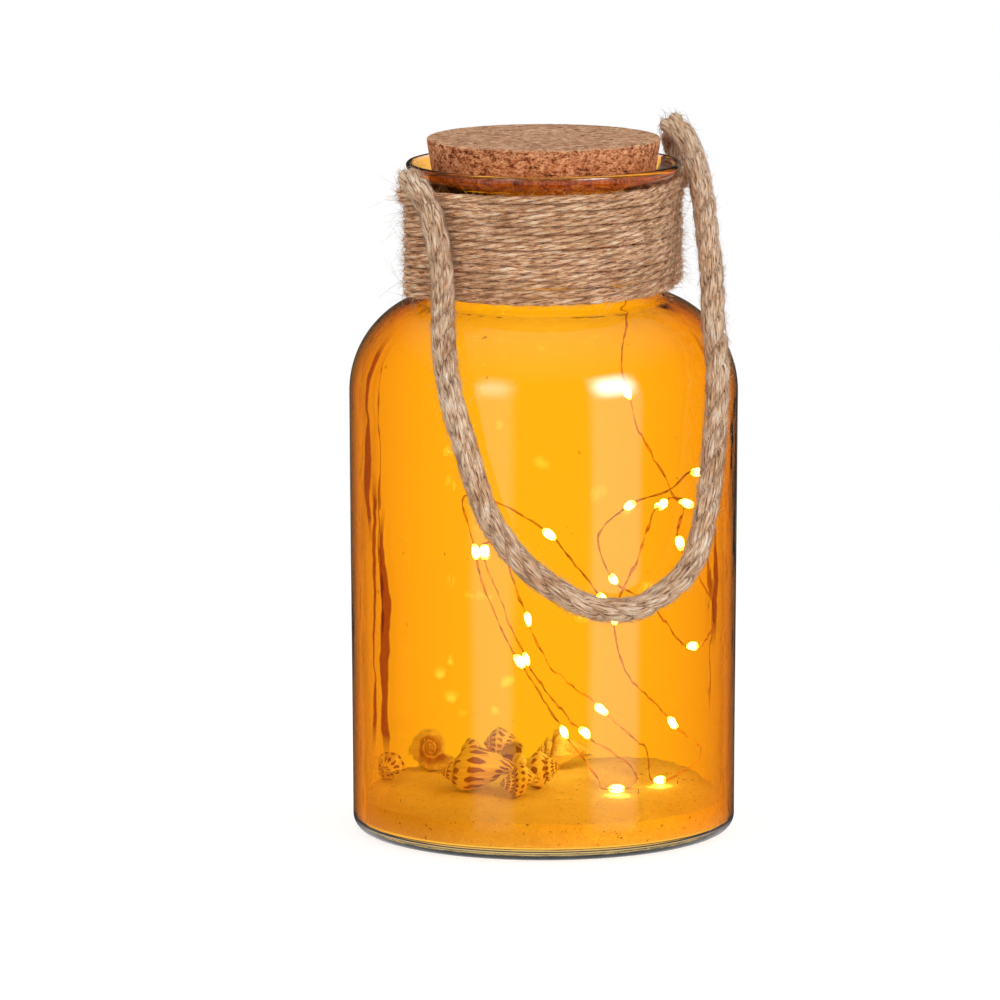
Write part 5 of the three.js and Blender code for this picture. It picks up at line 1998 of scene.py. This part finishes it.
@dataclass
class CorkStopper:
    """The tapered stopper of pressed cork, with the pocket for the battery case.

    Attributes:
        top_radius: the radius at the top.
        seat_radius: the radius at the height where the neck holds it.
        seat: that height.
        top: the height of the top.
        bottom: the height of the underside.
        soft: the round of the worn edges.
        pocket: the pocket's half length, half width and top height.
    """

    top_radius: float = 36.0
    seat_radius: float = 33.7
    seat: float = 200.0
    top: float = 215.5
    bottom: float = 190.5
    soft: float = 0.8
    pocket: tuple[float, float, float] = (24.35, 13.2, 201.9)

    # How far the pocket's cutter stands out below, and the steps of the worn edges and of the side.
    OVERCUT, EDGE_STEPS, SIDE_STEPS = 2.0, 4, 10
    # The radii of two rings in the top and the underside, and the sides of the stopper.
    FLATS, SIDES = (12.0, 24.0), 144
    # The widths of missing crumbs, and how deep the gaps are that they leave.
    CRUMBS, CRUMBLE = (2.2, 0.9), 0.16

    def radius(self, z: float) -> float:
        """The stopper's radius at a height."""
        narrower = (self.top_radius - self.seat_radius) * (self.top - z)
        return self.top_radius - narrower / (self.top - self.seat)

    def build(self) -> None:
        """Turns the stopper, crumbles its edges a little and cuts the pocket."""
        low, high = self.radius(self.bottom), self.top_radius
        profile = [(r, self.bottom) for r in (0.0, *self.FLATS)]
        profile += arc((low - self.soft, self.bottom + self.soft), self.soft, -90, 0, self.EDGE_STEPS)
        profile += straight((low, self.bottom + self.soft), (high, self.top - self.soft), self.SIDE_STEPS)
        profile += arc((high - self.soft, self.top - self.soft), self.soft, 0, 90, self.EDGE_STEPS)
        profile += [(r, self.top) for r in (*self.FLATS[::-1], 0.0)]
        bm = bmesh.new()
        spin_profile(bm, profile, self.SIDES)
        coarse, fine = (size * MM for size in self.CRUMBS)
        for v in bm.verts:
            rough = noise.noise(v.co / coarse) + 0.5 * noise.noise(v.co / fine)
            v.co -= v.normal * max(0.0, rough) * self.CRUMBLE * MM
        cork = make_piece(
            "cork_lid", bm, [PressedCork("cork granules, pressed and sanded")], "cork", crease=60.0,
        )
        cutter = bmesh.new()
        length, width, height = self.pocket
        deep = height - self.bottom + self.OVERCUT
        place = Matrix.Translation((0, 0, (height - deep / 2) * MM))
        size = Matrix.Diagonal((2 * length * MM, 2 * width * MM, deep * MM, 1))
        bmesh.ops.create_cube(cutter, size=1.0, matrix=place @ size)
        tool = add_object("pocket", cutter)
        cut = cork.modifiers.new("pocket", "BOOLEAN")
        cut.object = tool
        cut.operation = "DIFFERENCE"
        settled = bpy.context.evaluated_depsgraph_get()
        settled.update()
        whole = bpy.data.meshes.new_from_object(cork.evaluated_get(settled))
        cork.modifiers.clear()
        cork.data = whole
        bpy.data.objects.remove(tool)
        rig.ride(cork, "lid")
        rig.replaces(cork, "cork_lid")


@dataclass
class SandBed:
    """The shallow bed of sand, rippled, with a low mound by the wall.

    Attributes:
        edge: the bed's radius.
        corner: the round of its lower edge.
        bottom: the height of its underside.
        level: the height of its top.
        ripple: the height of its ripples.
        ripple_length: their lengths along X and Y.
        ripple_start: where the ripples begin along X.
        mound: the mound's height and spread.
        mound_place: where the mound is.
    """

    edge: float = 55.9
    corner: float = 0.6
    bottom: float = 3.8
    level: float = 11.2
    ripple: float = 0.5
    ripple_length: Pair = (17.0, 14.0)
    ripple_start: float = 0.6
    mound: Pair = (2.4, 13.0)
    mound_place: Pair = (48.0, 20.0)

    # The height and width of large and small hollows, and where in the noise they are.
    GRIT = ((0.16, 5.0, 0.2), (0.1, 1.6, 4.0))
    # How many rings its top has, how many steps its corner and how many sides.
    RINGS, STEPS, SIDES = 46, 6, 144
    # How far below the level a point still belongs to the top.
    SKIN = 0.01

    def top(self, x: float, y: float) -> float:
        """The height of the sand at a place.

        Args:
            x: the place along X, in millimetres.
            y: the place along Y, in millimetres.

        Returns:
            The height, in millimetres.
        """
        wave = math.sin(x / self.ripple_length[0] + self.ripple_start) * math.cos(y / self.ripple_length[1])
        away = math.hypot(x - self.mound_place[0], y - self.mound_place[1]) / self.mound[1]
        return self.level + self.ripple * wave + self.mound[0] * math.exp(-away * away / 2)

    def build(self) -> None:
        """Spins the bed and shapes its top, with small hollows."""
        profile = [(0.0, self.bottom)]
        profile += arc((self.edge - self.corner, self.bottom + self.corner), self.corner, -90, 0, self.STEPS)
        profile += [(self.edge * (1 - i / self.RINGS), self.level) for i in range(self.RINGS + 1)]
        bm = bmesh.new()
        spin_profile(bm, profile, self.SIDES)
        for v in bm.verts:
            if v.co.z > (self.level - self.SKIN) * MM:
                x, y = v.co.x / MM, v.co.y / MM
                grit = sum(
                    high * noise.noise(Vector((x / wide, y / wide, seed))) for high, wide, seed in self.GRIT
                )
                v.co.z = (self.top(x, y) + grit) * MM
        bed = make_piece("sand_bed", bm, [DrySand("washed sand, poured")], "sand")
        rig.ride(bed, "jar")
        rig.replaces(bed, "sand_bed")


@dataclass
class SeaShell:
    """One coiled shell, which grows by the same share with every turn.

    Attributes:
        name: the shell's node.
        marking: how it is marked.
        length: its length along the spire.
        radius: its widest radius.
        turn: the way its spire points, in degrees about Z.
        rise: how far the spire points upwards, in degrees.
        roll: how far it is rolled about the spire, in degrees.
        whorls: how many turns it has.
        growth: how much larger each turn is than the one before.
        spire: how tall the spire is.
        canal: how far the mouth is drawn out at the lower end.
        spikes: how many spikes a turn has.
        ribs: how far the ribs along the tube stand out.
    """

    name: str
    marking: Marking
    length: float
    radius: float
    turn: float
    rise: float = 0.0
    roll: float = 0.0
    whorls: float = 4.4
    growth: float = 1.75
    spire: float = 1.35
    canal: float = 1.5
    spikes: int = 0
    ribs: float = 0.02

    # The sides of the tube and its sections in a turn.
    SIDES, STEPS = 20, 30
    # The tube's middle, its reach to each side and half its height, beside the coil's size.
    MIDDLE, REACH, HEIGHT = 0.42, 0.58, 0.52
    # How far the tube's lower side draws in at its middle, how suddenly, and at its reach.
    DRAWN, SUDDEN, NARROWED = 0.55, 1.3, 0.35
    # The ribs in a radian, and the spikes' height, sharpness and place round the tube.
    RIBS, SPIKE, SHARP, SHOULDER = 9, 0.8, 6, 0.7
    # The mouth's steps inwards: the share of the tube's width, and how many sections back.
    MOUTH = ((0.86, 0), (0.78, 3), (0.7, 8))
    # How far the shell lies in the sand, in millimetres.
    SUNK = 0.3

    def ring(self, theta: float) -> list[Vector]:
        """The points round the tube at an angle of the coil.

        Args:
            theta: the angle from the tip, in radians.

        Returns:
            The points, with the spire along +X and no set size.
        """
        size = self.growth ** (theta / TURN - self.whorls)
        points = []
        for j in range(self.SIDES):
            phi = TURN * j / self.SIDES
            lift, out = math.sin(phi), math.cos(phi)
            low = max(0.0, -lift)
            radial = self.MIDDLE * (1 - self.DRAWN * low**self.SUDDEN)
            radial += self.REACH * out * (1 - self.NARROWED * low)
            axial = -self.spire + self.HEIGHT * lift * (self.canal if lift < 0 else 1.0)
            rib = self.ribs * math.sin(self.RIBS * theta)
            if self.spikes:
                row = max(0.0, math.cos(self.spikes * theta)) ** self.SHARP
                rib += self.SPIKE * row * max(0.0, math.cos(phi - self.SHOULDER)) ** self.SHARP
            radial *= 1 + rib
            points.append(Vector((axial, radial * math.cos(theta), radial * math.sin(theta))) * size)
        return points

    def build(self) -> None:
        """Coils the tube, opens its mouth, and lays it where its node lies."""
        sides, steps = self.SIDES, self.STEPS
        bm = bmesh.new()
        uv = bm.loops.layers.uv.verify()
        count = round(self.whorls * steps)
        rows = [self.ring(TURN * i / steps) for i in range(count + 1)]
        for share, back in self.MOUTH:
            ring = rows[count - back]
            middle = sum(ring, Vector()) / sides
            rows.append([middle.lerp(p, share) for p in ring])
        made = [[bm.verts.new(p) for p in row] for row in rows]
        for i in range(len(made) - 1):
            for j in range(sides):
                k = (j + 1) % sides
                face = bm.faces.new((made[i][j], made[i + 1][j], made[i + 1][k], made[i][k]))
                corners = ((i, j), (i + 1, j), (i + 1, j + 1), (i, j + 1))
                for loop, (row, side) in zip(face.loops, corners):
                    loop[uv].uv = (row / steps, side / sides)
        bm.faces.new(made[0])
        bm.faces.new(list(reversed(made[-1])))
        bmesh.ops.recalc_face_normals(bm, faces=bm.faces)
        self.lay_down(bm)
        finish = ShellPorcelain("sea shell, " + self.marking.name.lower(), self.marking)
        shell = make_piece(self.name, bm, [finish], "shell")
        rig.ride(shell, "jar")
        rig.replaces(shell, self.name)

    def lay_down(self, bm: BMesh) -> None:
        """Gives the coil its size and lays it on the sand where its node lies.

        Args:
            bm: the coil, with its spire along +X.
        """
        sizes = [max(v.co[i] for v in bm.verts) - min(v.co[i] for v in bm.verts) for i in range(3)]
        along, across = self.length * MM / sizes[0], 2 * self.radius * MM / max(sizes[1:])
        turned = (
            Matrix.Rotation(math.radians(self.turn), 4, "Z")
            @ Matrix.Rotation(math.radians(-self.rise), 4, "Y")
            @ Matrix.Rotation(math.radians(self.roll), 4, "X")
            @ Matrix.Diagonal((along, across, across, 1))
        )
        bmesh.ops.transform(bm, verts=bm.verts, matrix=turned)
        low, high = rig.box(self.name)
        mine = [(min(v.co[i] for v in bm.verts), max(v.co[i] for v in bm.verts)) for i in range(3)]
        move = [(low[i] + high[i]) / 2 - sum(mine[i]) / 2 for i in range(2)]
        bmesh.ops.translate(bm, verts=bm.verts, vec=(*move, low[2] - self.SUNK * MM - mine[2][0]))


SHELLS = (
    SeaShell("shell_checkered", Marking.CHECKS, 11, 4.9, 60, roll=40),
    SeaShell("shell_turban", Marking.PALE, 12.5, 7.6, -112, 6, -100, 4.2, 1.9, 0.7, 0.9, ribs=0.0),
    SeaShell("shell_spotted", Marking.SPOTS, 11.5, 5.0, 10, roll=70),
    SeaShell("shell_domed", Marking.SPOTS, 14.5, 5.8, 160, roll=120, growth=2.0, spire=0.9),
    SeaShell("shell_conch", Marking.BARS, 26.5, 7.0, 150, roll=20, growth=1.9, spire=0.85, canal=1.7),
    SeaShell("shell_cone", Marking.CHECKS, 13, 5.4, 172, roll=20),
    SeaShell("shell_barred", Marking.BARS, 12.5, 5.6, -30, 12, roll=90),
    SeaShell("shell_murex", Marking.PALE, 19, 7.0, 165, 6, roll=60, spire=1.1, canal=1.6, spikes=6),
    SeaShell("shell_pale", Marking.PALE, 8, 3.0, 40, roll=30),
)


# Battery case

CASE_PLASTIC = MouldedPlastic("black ABS, moulded", "#17181A", "#2B2C2E")
NICKEL = PlatedSteel("nickel-plated steel, rolled")
CASE_FINISHES: dict[str, Finish] = {
    "battery_case": CASE_PLASTIC,
    "battery_door": CASE_PLASTIC,
    "switch_cover": CASE_PLASTIC,
    "switch_slider": MouldedPlastic("white ABS, moulded", "#E4E3DF", "#F3F2EE", 0.3),
    "circuit_board": MouldedPlastic("green glass-epoxy board, printed", "#1F5A35", "#2F7A4A", 0.25),
    "wire_grommet": MouldedPlastic("black rubber, moulded", "#141414", "#242424", 0.6),
    "door_screw": NICKEL,
    "coin_cell_lower": NICKEL,
    "coin_cell_upper": NICKEL,
    "contact_roof": NICKEL,
    "contact_side": NICKEL,
    "switch_body": NICKEL,
}


def dress_case() -> None:
    """Gives the solids of the battery case their finishes."""
    for node, finish in CASE_FINISHES.items():
        slots = frame["nodes"][node].material_slots
        slots[0].material = finish.material()
        LOG.info("%s: %s", node, finish.name)


def plain(corners: Sequence[Sequence[float]]) -> list[list[float]]:
    """A box's corners as plain lists of numbers."""
    return [[float(value) for value in corner] for corner in corners]


def main() -> None:
    """Builds the studio and every piece, and notes the sizes."""
    logging.basicConfig(level=logging.INFO, format="%(message)s")
    bpy.context.scene.view_settings.view_transform = "Standard"
    studio = Studio()
    studio.add_camera()
    rope = RopeHandle()
    rope.build()
    LightString().build()
    NeckTwine(rope=rope).build()
    GlassJar().build()
    CorkStopper().build()
    SandBed().build()
    for shell in SHELLS:
        shell.build()
    dress_case()
    studio.add_light()
    studio.add_surroundings()
    studio.add_floor()
    with open(SIZE_FILE, "w", encoding="utf-8") as file:
        json.dump({"cad": plain(CAD_BOX), "visual": plain(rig.bounds())}, file)


if __name__ == "__main__":
    main()
